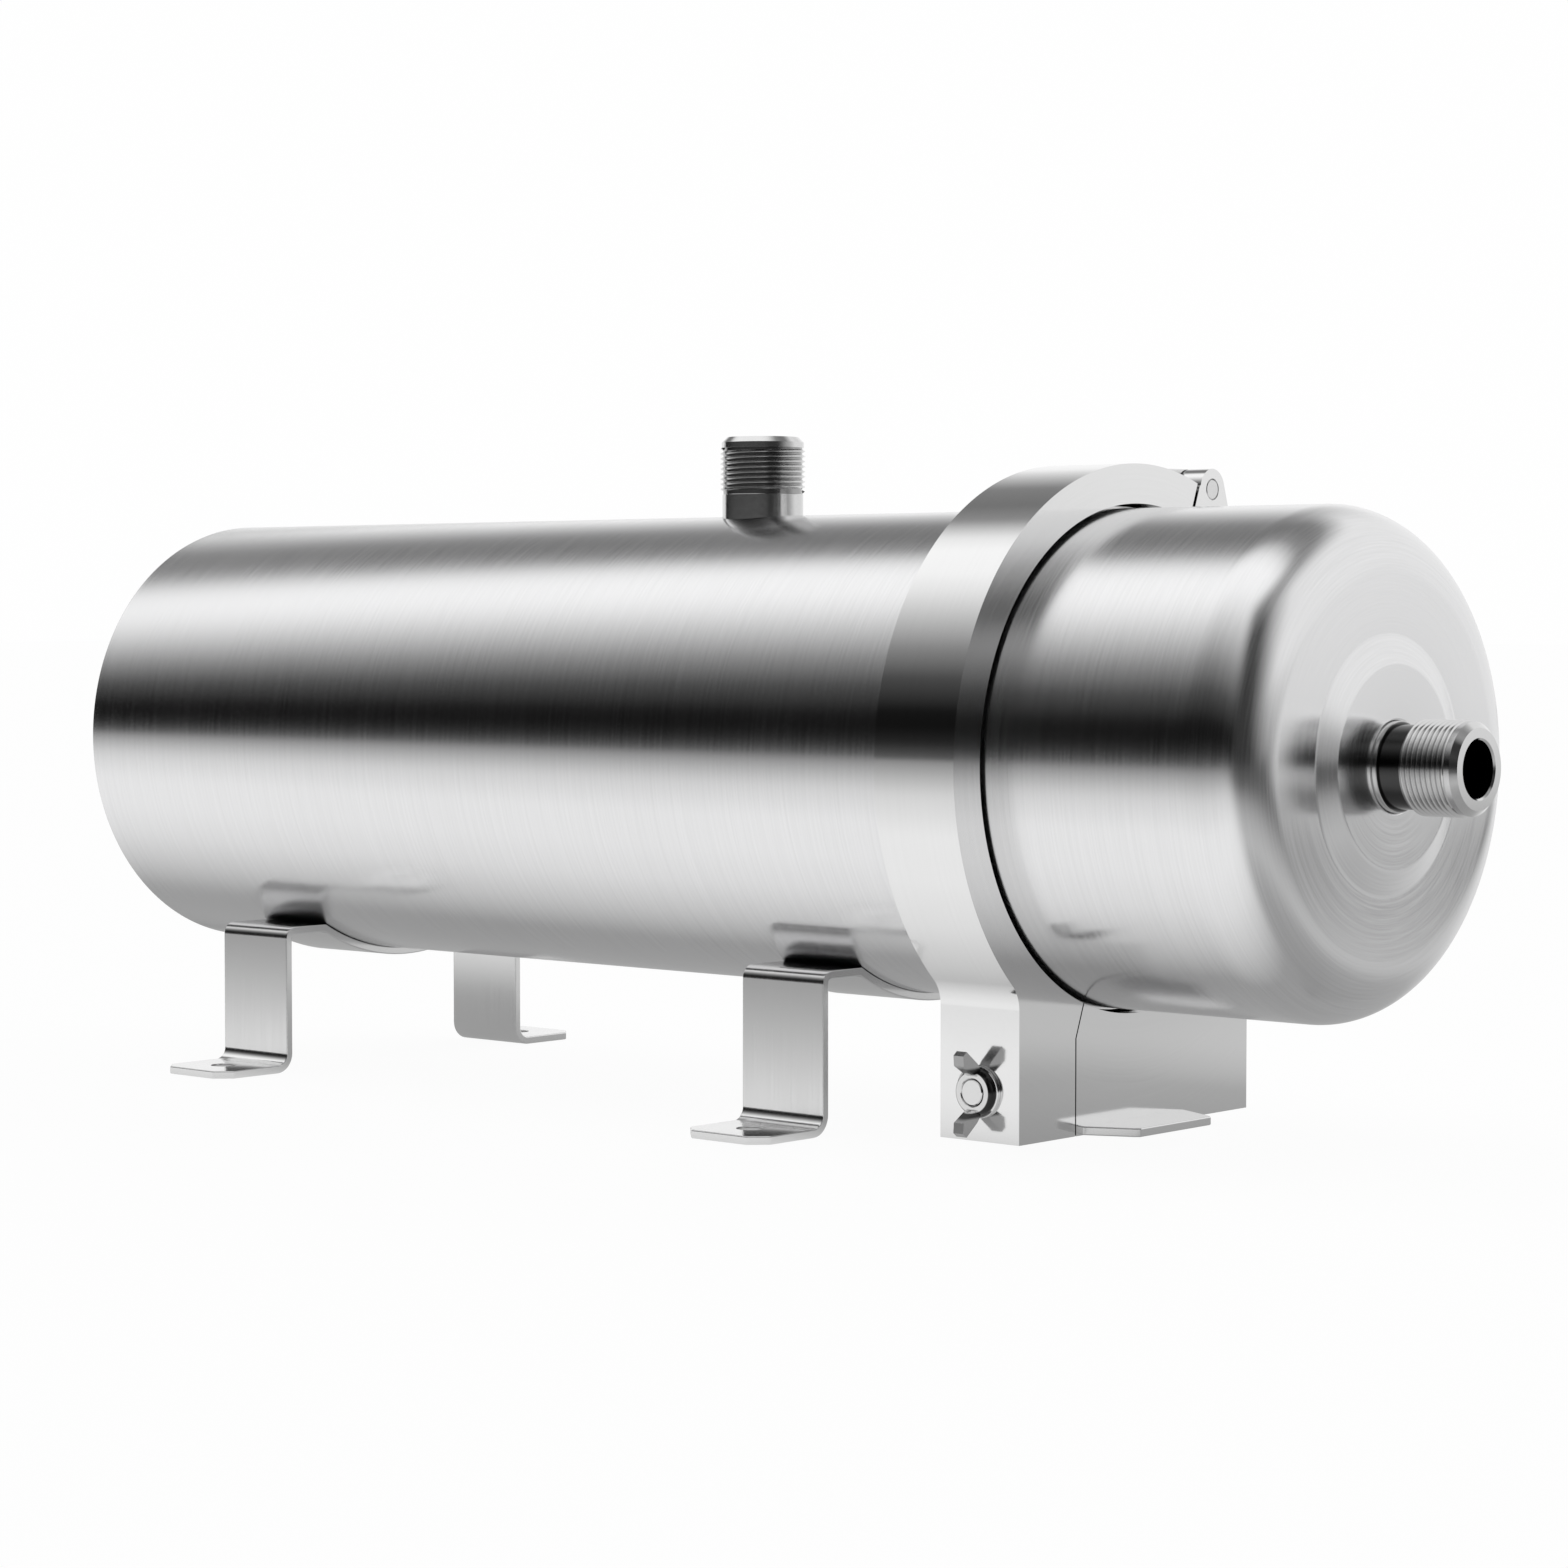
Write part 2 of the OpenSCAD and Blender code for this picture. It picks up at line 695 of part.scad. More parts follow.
module main_seal() {
    color("dimgray") about_axis(clamp_x - gasket_t / 2) difference() {
        cylinder(h = gasket_t, r = rim_r - gasket_inset);
        translate([0, 0, -1]) cylinder(h = gasket_t + 2, r = lip_r + collar_clear);
    }
}

// Cartridge

module cartridge_shell() {
    len = shell_front_x - shell_back_x;
    span = len - 4 * potting_t;
    color("white") difference() {
        about_axis(shell_back_x) cylinder(h = len, r = shell_r);
        about_axis(shell_back_x - 1) cylinder(h = len + 2, r = shell_r - shell_wall);
        for (row = [0 : shell_rows - 1], hole = [0 : shell_holes - 1])
            translate([shell_back_x + 2 * potting_t + span * row / (shell_rows - 1), 0, axis_h])
            rotate([(hole + row % 2 / 2) * 360 / shell_holes, 0, 0])
            translate([0, 0, shell_r - shell_wall - 2])
            cylinder(h = shell_wall + 4, d = shell_hole_d, $fn = 24);
    }
}

// Places of the strands, on a triangular grid inside the cartridge tube
strand_reach = shell_r - shell_wall - strand_d / 2 - strand_clear;
strand_count = floor(strand_reach / strand_pitch);
strands = [for (row = [-strand_count - 1 : strand_count + 1], col = [-strand_count - 1 : strand_count + 1])
    let (p = strand_pitch * [col + row / 2, row * sqrt(3) / 2])
    if (norm(p) < strand_reach) p];

module strand_bores(x0, x1, d) {
    about_axis(x0) for (p = strands) translate(p) cylinder(h = x1 - x0, d = d);
}

module fibre_bundle() {
    color("ivory") strand_bores(shell_back_x, shell_front_x, strand_d);
}

module potting(x) {
    color("khaki") difference() {
        about_axis(x) cylinder(h = potting_t, r = shell_r - shell_wall - snug);
        strand_bores(x - 1, x + potting_t + 1, strand_d + 2 * snug);
    }
}

module rear_potting() {
    potting(shell_back_x);
}

module front_potting() {
    potting(shell_front_x - potting_t);
}

// Collar on the cartridge tube from z = 0 to collar_len, with a groove for a sealing ring
module collar(outer_r, groove_z) {
    rotate_extrude() difference() {
        translate([shell_r + snug, 0]) square([outer_r - shell_r - snug, collar_len]);
        translate([outer_r + collar_clear - ring_d, groove_z - ring_d / 2 - ring_clear])
            square([ring_d, ring_d + 2 * ring_clear]);
    }
}

module front_collar() {
    color("white") union() {
        about_axis(front_collar_x) collar(front_collar_r, ring_z);
        turned(clamp_x - gasket_t / 2 - lip_t, [
            [shell_r + snug, 0],
            [lip_r, 0],
            [lip_r, lip_t],
            [shell_r + snug, lip_t]]);
    }
}

module rear_collar() {
    color("white") about_axis(rear_collar_x) collar(rear_collar_r, ring_z);
}

// Sealing ring that fills its groove up to the bore
module o_ring(bore_radius, x) {
    about_axis(x) rotate_extrude() translate([bore_radius - ring_d / 2 - snug, 0])
        circle(d = ring_d - snug, $fn = 32);
}

module front_o_rings() {
    color("black") o_ring(flange_bore_r, front_collar_x + ring_z);
}

module rear_o_rings() {
    color("black") o_ring(seat_bore_r, rear_collar_x + ring_z);
}

barrel_tube();
rear_head();
top_nipple();
rear_nipple();
barrel_flange();
rear_seat();
rear_bracket();
front_bracket();
clamp_far_half();
clamp_near_half();
hinge_pin();
clamp_stud();
stud_washer();
wing_nut();
clamp_tab();
end_cap();
cap_flange();
cap_nipple();
main_seal();
cartridge_shell();
fibre_bundle();
front_potting();
rear_potting();
front_collar();
rear_collar();
front_o_rings();
rear_o_rings();
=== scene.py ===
"""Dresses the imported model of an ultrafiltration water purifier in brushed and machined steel."""

from math import acos, atan2, cos, pi, radians, sin, sqrt, tan

import bmesh
import bpy
from mathutils import Euler, Matrix, Vector


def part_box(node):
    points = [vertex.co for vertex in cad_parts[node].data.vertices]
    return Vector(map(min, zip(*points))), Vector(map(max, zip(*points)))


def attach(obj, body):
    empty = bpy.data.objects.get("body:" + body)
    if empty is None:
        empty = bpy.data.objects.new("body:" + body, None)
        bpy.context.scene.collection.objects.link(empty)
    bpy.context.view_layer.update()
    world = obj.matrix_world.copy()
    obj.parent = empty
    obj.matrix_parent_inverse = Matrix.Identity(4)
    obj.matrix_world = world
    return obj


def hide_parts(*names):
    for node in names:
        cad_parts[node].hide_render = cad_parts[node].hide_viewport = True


bl_info = {
    "name": "Water purifier finish",
    "version": (1, 0, 0),
    "blender": (4, 5, 0),
    "location": "View3D > Sidebar > Purifier",
    "description": "Builds the visible pieces, finishes and studio of a stainless water purifier",
    "category": "Object",
}

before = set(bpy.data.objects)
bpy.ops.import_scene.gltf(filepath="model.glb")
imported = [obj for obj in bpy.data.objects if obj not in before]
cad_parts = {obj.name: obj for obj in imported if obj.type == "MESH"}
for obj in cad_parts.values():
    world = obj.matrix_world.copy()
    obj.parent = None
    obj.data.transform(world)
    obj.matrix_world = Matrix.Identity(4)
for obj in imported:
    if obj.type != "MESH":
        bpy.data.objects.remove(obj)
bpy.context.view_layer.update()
MM = 0.001


def edges(node):
    """Lowest and highest corners of a node at rest."""
    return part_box(node)


def middle(node):
    """Middle of a node's box."""
    low, high = edges(node)
    return (low + high) / 2


BARREL_LOW, BARREL_HIGH = edges("barrel_tube")
AXIS = Vector((0, 0, (BARREL_LOW.z + BARREL_HIGH.z) / 2))
BARREL_R = (BARREL_HIGH.z - BARREL_LOW.z) / 2
CLAMP_X = middle("clamp_far_half").x
CLAMP_W = edges("clamp_far_half")[1].x - edges("clamp_far_half")[0].x
HINGE = middle("hinge_pin")
STUD = middle("clamp_stud")
LUG_FACE_Y = edges("stud_washer")[1].y
FLOOR_Z = edges("front_bracket")[0].z
CAP_FACE_X = edges("end_cap")[1].x
STEPS = 256
PORT_HOLE_R = 10.02 * MM
SPLIT_A = radians(69.5)


# Settings

class PurifierSizes(bpy.types.PropertyGroup):
    """Sizes of the details that the finish adds."""

    wall: bpy.props.FloatProperty(
        name="Wall", description="Sheet thickness of the housing", default=1.5 * MM, unit="LENGTH")
    edge_break: bpy.props.FloatProperty(
        name="Edge break", description="Rounding of the clamp's edges", default=0.6 * MM, unit="LENGTH")
    sheet_break: bpy.props.FloatProperty(
        name="Sheet break", description="Rounding of sheet metal edges", default=0.3 * MM, unit="LENGTH")
    thread_pitch: bpy.props.FloatProperty(
        name="Thread pitch", description="Pitch of the pipe threads", default=1.25 * MM, unit="LENGTH")
    thread_depth: bpy.props.FloatProperty(
        name="Thread depth", description="Depth of the pipe threads", default=0.7 * MM, unit="LENGTH")
    stud_pitch: bpy.props.FloatProperty(
        name="Stud pitch", description="Pitch of the stud's thread", default=1.0 * MM, unit="LENGTH")
    cap_edge_r: bpy.props.FloatProperty(
        name="Cap edge", description="Outer radius of the cap's edge", default=15 * MM, unit="LENGTH")
    cap_edge_round: bpy.props.FloatProperty(
        name="Boss edge", description="Rounding of the raised centre", default=0.5 * MM, unit="LENGTH")
    boss_r: bpy.props.FloatProperty(
        name="Boss foot", description="Radius of the raised centre at its foot", default=28.4 * MM,
        unit="LENGTH")
    boss_top_r: bpy.props.FloatProperty(
        name="Boss top", description="Radius of the raised centre's flat top", default=22.6 * MM,
        unit="LENGTH")
    boss_h: bpy.props.FloatProperty(
        name="Boss height", description="Height of the raised centre", default=2 * MM, unit="LENGTH")
    lug_fillet: bpy.props.FloatProperty(
        name="Lug fillet", description="Fillet between the ring and the lugs", default=8 * MM,
        unit="LENGTH")


class PurifierColours(bpy.types.PropertyGroup):
    """Colours of the finishes."""

    shell: bpy.props.FloatVectorProperty(
        name="Housing", description="Brushed steel of the barrel and the cap", subtype="COLOR",
        size=3, default=(0.79, 0.79, 0.795))
    clamp: bpy.props.FloatVectorProperty(
        name="Clamp", description="Satin steel of the clamp", subtype="COLOR",
        size=3, default=(0.8, 0.8, 0.8))
    strip: bpy.props.FloatVectorProperty(
        name="Brackets", description="Sheet steel of the brackets", subtype="COLOR",
        size=3, default=(0.8, 0.8, 0.8))
    turned: bpy.props.FloatVectorProperty(
        name="Nipples", description="Turned steel of the nipples", subtype="COLOR",
        size=3, default=(0.7, 0.7, 0.7))
    nut: bpy.props.FloatVectorProperty(
        name="Wing nut", description="Darker steel of the wing nut", subtype="COLOR",
        size=3, default=(0.75, 0.75, 0.75))
    plastic: bpy.props.FloatVectorProperty(
        name="Cartridge", description="Moulded plastic of the cartridge", subtype="COLOR",
        size=3, default=(0.8, 0.8, 0.78))
    resin: bpy.props.FloatVectorProperty(
        name="Resin", description="Resin that holds the fibres", subtype="COLOR",
        size=3, default=(0.6, 0.45, 0.2))
    rubber: bpy.props.FloatVectorProperty(
        name="Seals", description="Rubber of the seals", subtype="COLOR",
        size=3, default=(0.015, 0.015, 0.015))
    floor: bpy.props.FloatVectorProperty(
        name="Floor", description="Pale studio floor", subtype="COLOR",
        size=3, default=(0.95, 0.95, 0.95))


def sizes():
    return bpy.context.scene.purifier_sizes


def colours():
    return bpy.context.scene.purifier_colours


# Mesh helpers

def as_object(bm, name):
    """Puts a bmesh into the scene as an object and frees it."""
    mesh = bpy.data.meshes.new(name)
    bm.to_mesh(mesh)
    bm.free()
    piece = bpy.data.objects.new(name, mesh)
    bpy.context.scene.collection.objects.link(piece)
    return piece


def finish_mesh(bm, name, body, replaced=(), material=None, smooth=32.0):
    """Makes a piece of the bmesh, which rides on a body and may stand for CAD nodes."""
    piece = as_object(bm, name)
    piece.data.shade_smooth()
    piece.data.set_sharp_from_angle(angle=radians(smooth))
    piece.data.materials.append(material)
    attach(piece, body)
    if replaced:
        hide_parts(*replaced)
    return piece


def join(bm, other):
    """Adds a second bmesh to the first and frees it."""
    mesh = bpy.data.meshes.new("part")
    other.to_mesh(mesh)
    other.free()
    bm.from_mesh(mesh)
    bpy.data.meshes.remove(mesh)


def verts_of(geom):
    """Vertices among what an operator returned."""
    return [g for g in geom if isinstance(g, bmesh.types.BMVert)]


def tidy(bm):
    """Merges doubled vertices and points the faces outwards."""
    bmesh.ops.remove_doubles(bm, verts=bm.verts[:], dist=1e-6)
    bmesh.ops.recalc_face_normals(bm, faces=bm.faces[:])


def turn(bm, outline, about=AXIS, direction=Vector((1, 0, 0)), steps=STEPS):
    """Spins a closed outline of (radius, along) about an axis."""
    across = direction.orthogonal().normalized()
    verts = [bm.verts.new(about + across * r + direction * h) for r, h in outline]
    rim = [bm.edges.new((a, b)) for a, b in zip(verts, verts[1:] + verts[:1])]
    bmesh.ops.spin(bm, geom=verts + rim, cent=about, axis=direction, angle=2 * pi, steps=steps,
                   use_merge=True)
    bmesh.ops.remove_doubles(bm, verts=bm.verts[:], dist=1e-7)
    return bm


def rounded(outline, radius, segments=4):
    """Rounds the corners of a closed outline, where its sides leave room."""
    bm = bmesh.new()
    verts = [bm.verts.new((a, b, 0)) for a, b in outline]
    bm.faces.new(verts)
    bmesh.ops.bevel(bm, geom=verts, offset=radius, offset_type="OFFSET", segments=segments,
                    profile=0.5, affect="VERTICES", clamp_overlap=True, material=-1)
    bm.faces.ensure_lookup_table()
    points = [(v.co.x, v.co.y) for v in bm.faces[0].verts]
    bm.free()
    return points


def box_mesh(bm, low, high):
    """Adds a box between two corners."""
    low, high = Vector(low), Vector(high)
    made = bmesh.ops.create_cube(bm, size=1)["verts"]
    bmesh.ops.scale(bm, verts=made, vec=high - low)
    bmesh.ops.translate(bm, verts=made, vec=(high + low) / 2)


def rod(bm, start, end, radius):
    """Adds a cylinder between two points."""
    start, end = Vector(start), Vector(end)
    length = (end - start).length
    turned = (end - start).to_track_quat("Z", "Y").to_matrix().to_4x4()
    place = Matrix.Translation((start + end) / 2) @ turned
    bmesh.ops.create_cone(bm, cap_ends=True, segments=64, radius1=radius, radius2=radius,
                          depth=length, matrix=place)


def plate(bm, points, x0, x1):
    """Adds a plate: an outline of (y, z) from x0 to x1."""
    verts = [bm.verts.new((x0, y, z)) for y, z in points]
    face = bm.faces.new(verts)
    made = bmesh.ops.extrude_face_region(bm, geom=[face])
    bmesh.ops.translate(bm, verts=verts_of(made["geom"]), vec=(x1 - x0, 0, 0))
    bmesh.ops.recalc_face_normals(bm, faces=bm.faces[:])
    return bm


def solid(build):
    """Object of a bmesh that a function fills, for the boolean tool."""
    bm = bmesh.new()
    build(bm)
    bmesh.ops.recalc_face_normals(bm, faces=bm.faces[:])
    return as_object(bm, "tool")


def combine(base, steps):
    """Applies boolean steps of (operation, tool) to an object and returns its bmesh."""
    for operation, tool in steps:
        boolean = base.modifiers.new("cut", "BOOLEAN")
        boolean.operation = operation
        boolean.solver = "EXACT"
        boolean.object = tool
    bpy.context.view_layer.update()
    shape = base.evaluated_get(bpy.context.evaluated_depsgraph_get()).to_mesh()
    bm = bmesh.new()
    bm.from_mesh(shape)
    for piece in [base] + [tool for _, tool in steps]:
        bpy.data.objects.remove(piece)
    bmesh.ops.remove_doubles(bm, verts=bm.verts[:], dist=2e-6)
    bmesh.ops.dissolve_limit(bm, angle_limit=radians(0.2), verts=bm.verts[:], edges=bm.edges[:])
    return bm


def soften(piece, width, angle=35.0, segments=3):
    """Rounds a piece's sharp edges."""
    bevel = piece.modifiers.new("edge break", "BEVEL")
    bevel.width = width
    bevel.segments = segments
    bevel.limit_method = "ANGLE"
    bevel.angle_limit = radians(angle)
    bevel.harden_normals = True
    bevel.use_clamp_overlap = True
    return piece


def wind_thread(bm, start, direction, root, depth, pitch, length, steps=48):
    """Winds a helical ridge on a shank from start along direction."""
    across = direction.orthogonal().normalized()
    half = pitch / 2
    section = [(root - depth * 0.3, -half * 0.98), (root + depth, -half * 0.12),
               (root + depth, half * 0.12), (root - depth * 0.3, half * 0.98)]
    verts = [bm.verts.new(start + across * r + direction * h) for r, h in section]
    face = bm.faces.new(verts)
    turns = length / pitch
    count = int(steps * turns)
    bmesh.ops.spin(bm, geom=[face], cent=start, axis=direction, dvec=direction * (length / count),
                   angle=2 * pi * turns, steps=count, use_merge=False)
    run_out = pitch * 0.6
    for vert in bm.verts:
        along = (vert.co - start).dot(direction)
        centre = start + direction * along
        away = vert.co - centre
        fade = min(1.0, max(0.0, (along + half) / run_out), max(0.0, (length + half - along) / run_out))
        sunk = root - depth * 0.3
        if away.length > sunk:
            vert.co = centre + away.normalized() * (sunk + (away.length - sunk) * fade)
    bmesh.ops.recalc_face_normals(bm, faces=bm.faces[:])
    return bm


# Materials

GRAIN_RANGE = (0.3, 0.7)


def node(tree, kind, at, **values):
    made = tree.nodes.new(kind)
    made.location = at
    for key, value in values.items():
        setattr(made, key, value)
    return made


def math_node(tree, operation, a, b=None, at=(0, 0), c=None):
    made = node(tree, "ShaderNodeMath", at, operation=operation)
    for socket, value in zip(made.inputs, (a, b, c)):
        if value is None:
            continue
        if isinstance(value, (int, float)):
            socket.default_value = value
        else:
            tree.links.new(value, socket)
    return made.outputs[0]


def blank(name):
    material = bpy.data.materials.new(name)
    material.use_nodes = True
    tree = material.node_tree
    return material, tree, tree.nodes["Principled BSDF"]


def ramp_of(tree, value, stops, at):
    """Grey ramp through the given places and levels, which may pass one."""
    ramp = node(tree, "ShaderNodeValToRGB", at)
    band = ramp.color_ramp
    while len(band.elements) < len(stops):
        band.elements.new(0.5)
    for element, (place, level) in zip(band.elements, stops):
        element.position = place
        element.color = (level, level, level, 1)
    tree.links.new(value, ramp.inputs[0])
    return ramp.outputs[0]


def remap(tree, value, source, target, at):
    """Maps one range of a value onto another."""
    made = node(tree, "ShaderNodeMapRange", at)
    for key, number in zip(("From Min", "From Max", "To Min", "To Max"), source + target):
        made.inputs[key].default_value = number
    tree.links.new(value, made.inputs["Value"])
    return made.outputs[0]


def blend(tree, share, low, high, at):
    """Goes from one tone to another by a share; a tone may be a grey level."""
    mix = node(tree, "ShaderNodeMix", at, data_type="RGBA")
    tree.links.new(share, mix.inputs[0])
    for socket, value in ((mix.inputs[6], low), (mix.inputs[7], high)):
        if isinstance(value, float):
            socket.default_value = (value, value, value, 1)
        else:
            tree.links.new(value, socket)
    return mix.outputs[2]


def noise(tree, vector, scale, detail, at, rough=0.5):
    """Noise along a vector."""
    made = node(tree, "ShaderNodeTexNoise", at)
    made.inputs["Scale"].default_value = scale
    made.inputs["Detail"].default_value = detail
    made.inputs["Roughness"].default_value = rough
    tree.links.new(vector, made.inputs["Vector"])
    return made.outputs[0]


def tinted(tree, shader, colour, level, at):
    """Colour of a shader, scaled by a level."""
    tint = node(tree, "ShaderNodeVectorMath", at, operation="SCALE")
    tint.inputs[0].default_value = colour
    tree.links.new(level, tint.inputs["Scale"])
    tree.links.new(tint.outputs[0], shader.inputs["Base Color"])


def raised(tree, shader, height, distance, at):
    """Relief of a shader."""
    relief = node(tree, "ShaderNodeBump", at)
    relief.inputs["Strength"].default_value = 1.0
    relief.inputs["Distance"].default_value = distance
    tree.links.new(height, relief.inputs["Height"])
    tree.links.new(relief.outputs[0], shader.inputs["Normal"])


def object_place(tree, at):
    return node(tree, "ShaderNodeTexCoord", at).outputs["Object"]


def counted_from(tree, place, origin, at):
    """Place counted from a point."""
    shift = node(tree, "ShaderNodeVectorMath", at, operation="SUBTRACT")
    shift.inputs[1].default_value = origin
    tree.links.new(place, shift.inputs[0])
    return shift.outputs[0]


def split_xyz(tree, vector, at):
    made = node(tree, "ShaderNodeSeparateXYZ", at)
    tree.links.new(vector, made.inputs[0])
    return made.outputs


def lathe_grain(tree, fine, around):
    """Vector whose fine direction runs across hairlines that go round the barrel's axis."""
    x, y, z = split_xyz(tree, counted_from(tree, object_place(tree, (-1500, 0)), AXIS, (-1300, 0)),
                        (-1150, 0))
    square_y = math_node(tree, "MULTIPLY", y, y, (-1000, -100))
    square_z = math_node(tree, "MULTIPLY", z, z, (-1000, -200))
    reach = math_node(tree, "SQRT", math_node(tree, "ADD", square_y, square_z, (-900, -150)), None,
                      (-800, -150))
    drift = math_node(tree, "ADD", math_node(tree, "MULTIPLY", y, around, (-900, -300)),
                      math_node(tree, "MULTIPLY", z, around * 0.7, (-900, -400)), (-750, -350))
    together = node(tree, "ShaderNodeCombineXYZ", (-600, 0))
    tree.links.new(math_node(tree, "MULTIPLY", x, fine, (-700, 50)), together.inputs[0])
    tree.links.new(math_node(tree, "MULTIPLY", reach, fine, (-700, -50)), together.inputs[1])
    tree.links.new(drift, together.inputs[2])
    return together.outputs[0]


def straight_grain(tree, scale):
    """Object coordinates stretched along a straight brushing direction."""
    stretch = node(tree, "ShaderNodeMapping", (-900, 0))
    stretch.inputs["Scale"].default_value = scale
    tree.links.new(object_place(tree, (-1100, 0)), stretch.inputs["Vector"])
    return stretch.outputs[0]


def painted_shade_by_radius(tree, foot, direction, stops, reach, span):
    """Painted shade by the distance from an axis, up to a reach along it; stops are (radius, level)."""
    offset = counted_from(tree, object_place(tree, (-1500, 700)), foot, (-1300, 700))
    along = node(tree, "ShaderNodeVectorMath", (-1100, 800), operation="DOT_PRODUCT")
    out = node(tree, "ShaderNodeVectorMath", (-1100, 600), operation="CROSS_PRODUCT")
    for made in (along, out):
        made.inputs[1].default_value = direction
        tree.links.new(offset, made.inputs[0])
    away = node(tree, "ShaderNodeVectorMath", (-950, 600), operation="LENGTH")
    tree.links.new(out.outputs[0], away.inputs[0])
    share = math_node(tree, "DIVIDE", away.outputs["Value"], span, (-800, 600))
    tone = ramp_of(tree, share, [(radius / span, level) for radius, level in stops], (-650, 600))
    past = math_node(tree, "GREATER_THAN", along.outputs["Value"], reach, (-900, 800))
    return math_node(tree, "MAXIMUM", tone, past, (-350, 700))


def steel(name, colour, grain, rough, rough_spread, tone_spread, bump, painted_shade=None,
          anisotropic=0.0, round_tangent=False):
    """Brushed steel, made when first used: hairlines vary the tone, the roughness and the height, and an
    optional painted shade darkens it near an axis.
    """
    if name in bpy.data.materials:
        return bpy.data.materials[name]
    material, tree, shader = blank(name)
    hair = noise(tree, grain(tree), 1.0, 4.0, (-400, 100), 0.65)
    cloud = noise(tree, object_place(tree, (-600, -200)), 18.0, 2.0, (-400, -150))
    mixed = math_node(tree, "ADD", math_node(tree, "MULTIPLY", hair, 0.8, (-250, 100)),
                      math_node(tree, "MULTIPLY", cloud, 0.2, (-250, -100)), (-100, 0))
    level = remap(tree, mixed, GRAIN_RANGE, (1.0 - tone_spread, 1.0 + tone_spread), (50, 200))
    # Painted shade: the colour is darker close to an axis, where bores, grooves and hollows are in shade.
    if painted_shade:
        level = math_node(tree, "MULTIPLY", level, painted_shade_by_radius(tree, *painted_shade), (130, 350))
    tinted(tree, shader, colour, level, (220, 200))
    gloss = remap(tree, mixed, GRAIN_RANGE, (rough - rough_spread, rough + rough_spread), (50, -50))
    tree.links.new(gloss, shader.inputs["Roughness"])
    raised(tree, shader, hair, bump, (50, -300))
    shader.inputs["Metallic"].default_value = 1.0
    shader.inputs["Anisotropic"].default_value = anisotropic
    if round_tangent:
        tangent = node(tree, "ShaderNodeTangent", (50, -500), direction_type="RADIAL", axis="X")
        tree.links.new(tangent.outputs[0], shader.inputs["Tangent"])
        shader.inputs["Anisotropic Rotation"].default_value = 0.25
    return material


def moulded(name, colour, rough, grain_scale=900.0, bump=0.02 * MM):
    """Plain moulded or cast material with a fine skin."""
    material, tree, shader = blank(name)
    skin = noise(tree, object_place(tree, (-600, 0)), grain_scale, 3.0, (-400, 0))
    tinted(tree, shader, colour, remap(tree, skin, (0.0, 1.0), (0.9, 1.05), (-200, 100)), (0, 100))
    raised(tree, shader, skin, bump, (-200, -200))
    shader.inputs["Roughness"].default_value = rough
    return material


def shell_finish():
    return steel("brushed shell", colours().shell, lambda tree: lathe_grain(tree, 2200, 60), 0.19,
                 0.04, 0.05, 0.0006 * MM, anisotropic=0.6, round_tangent=True)


def clamp_finish():
    return steel("satin clamp", colours().clamp, lambda tree: lathe_grain(tree, 1800, 30), 0.1,
                 0.01, 0.015, 0.0001 * MM)


def strip_finish():
    return steel("bracket sheet", colours().strip, lambda tree: straight_grain(tree, (1800, 40, 40)),
                 0.18, 0.03, 0.02, 0.0003 * MM)


def turned_finish(name="turned steel", painted_shade=None):
    return steel(name, colours().turned, lambda tree: straight_grain(tree, (900, 900, 900)), 0.12,
                 0.02, 0.03, 0.0002 * MM, painted_shade)


def nipple_steel_and_shade(name, foot, direction, reach):
    """Turned steel with painted shade in the bore and down in the thread, and a painted dark reflection in
    the groove.
    """
    stops = [(0, 0.2), (9.4 * MM, 0.1), (9.7 * MM, 0.3), (9.9 * MM, 0.9), (10.1 * MM, 1.0)]
    return turned_finish(name, (foot, direction, stops, reach - 2.5 * MM, 12 * MM))


def nut_steel_and_shade():
    """Wing nut's steel, with painted shade on the hub's side next to the wings."""
    stops = [(0, 1.0), (4.4 * MM, 1.0), (4.6 * MM, 0.06), (5.4 * MM, 0.06), (6 * MM, 0.5)]
    return steel("wing nut steel", colours().nut, lambda tree: straight_grain(tree, (1200, 1200, 1200)),
                 0.22, 0.03, 0.04, 0.0005 * MM, (STUD, Vector((0, 1, 0)), stops, 0.2, 12 * MM))


# Housing

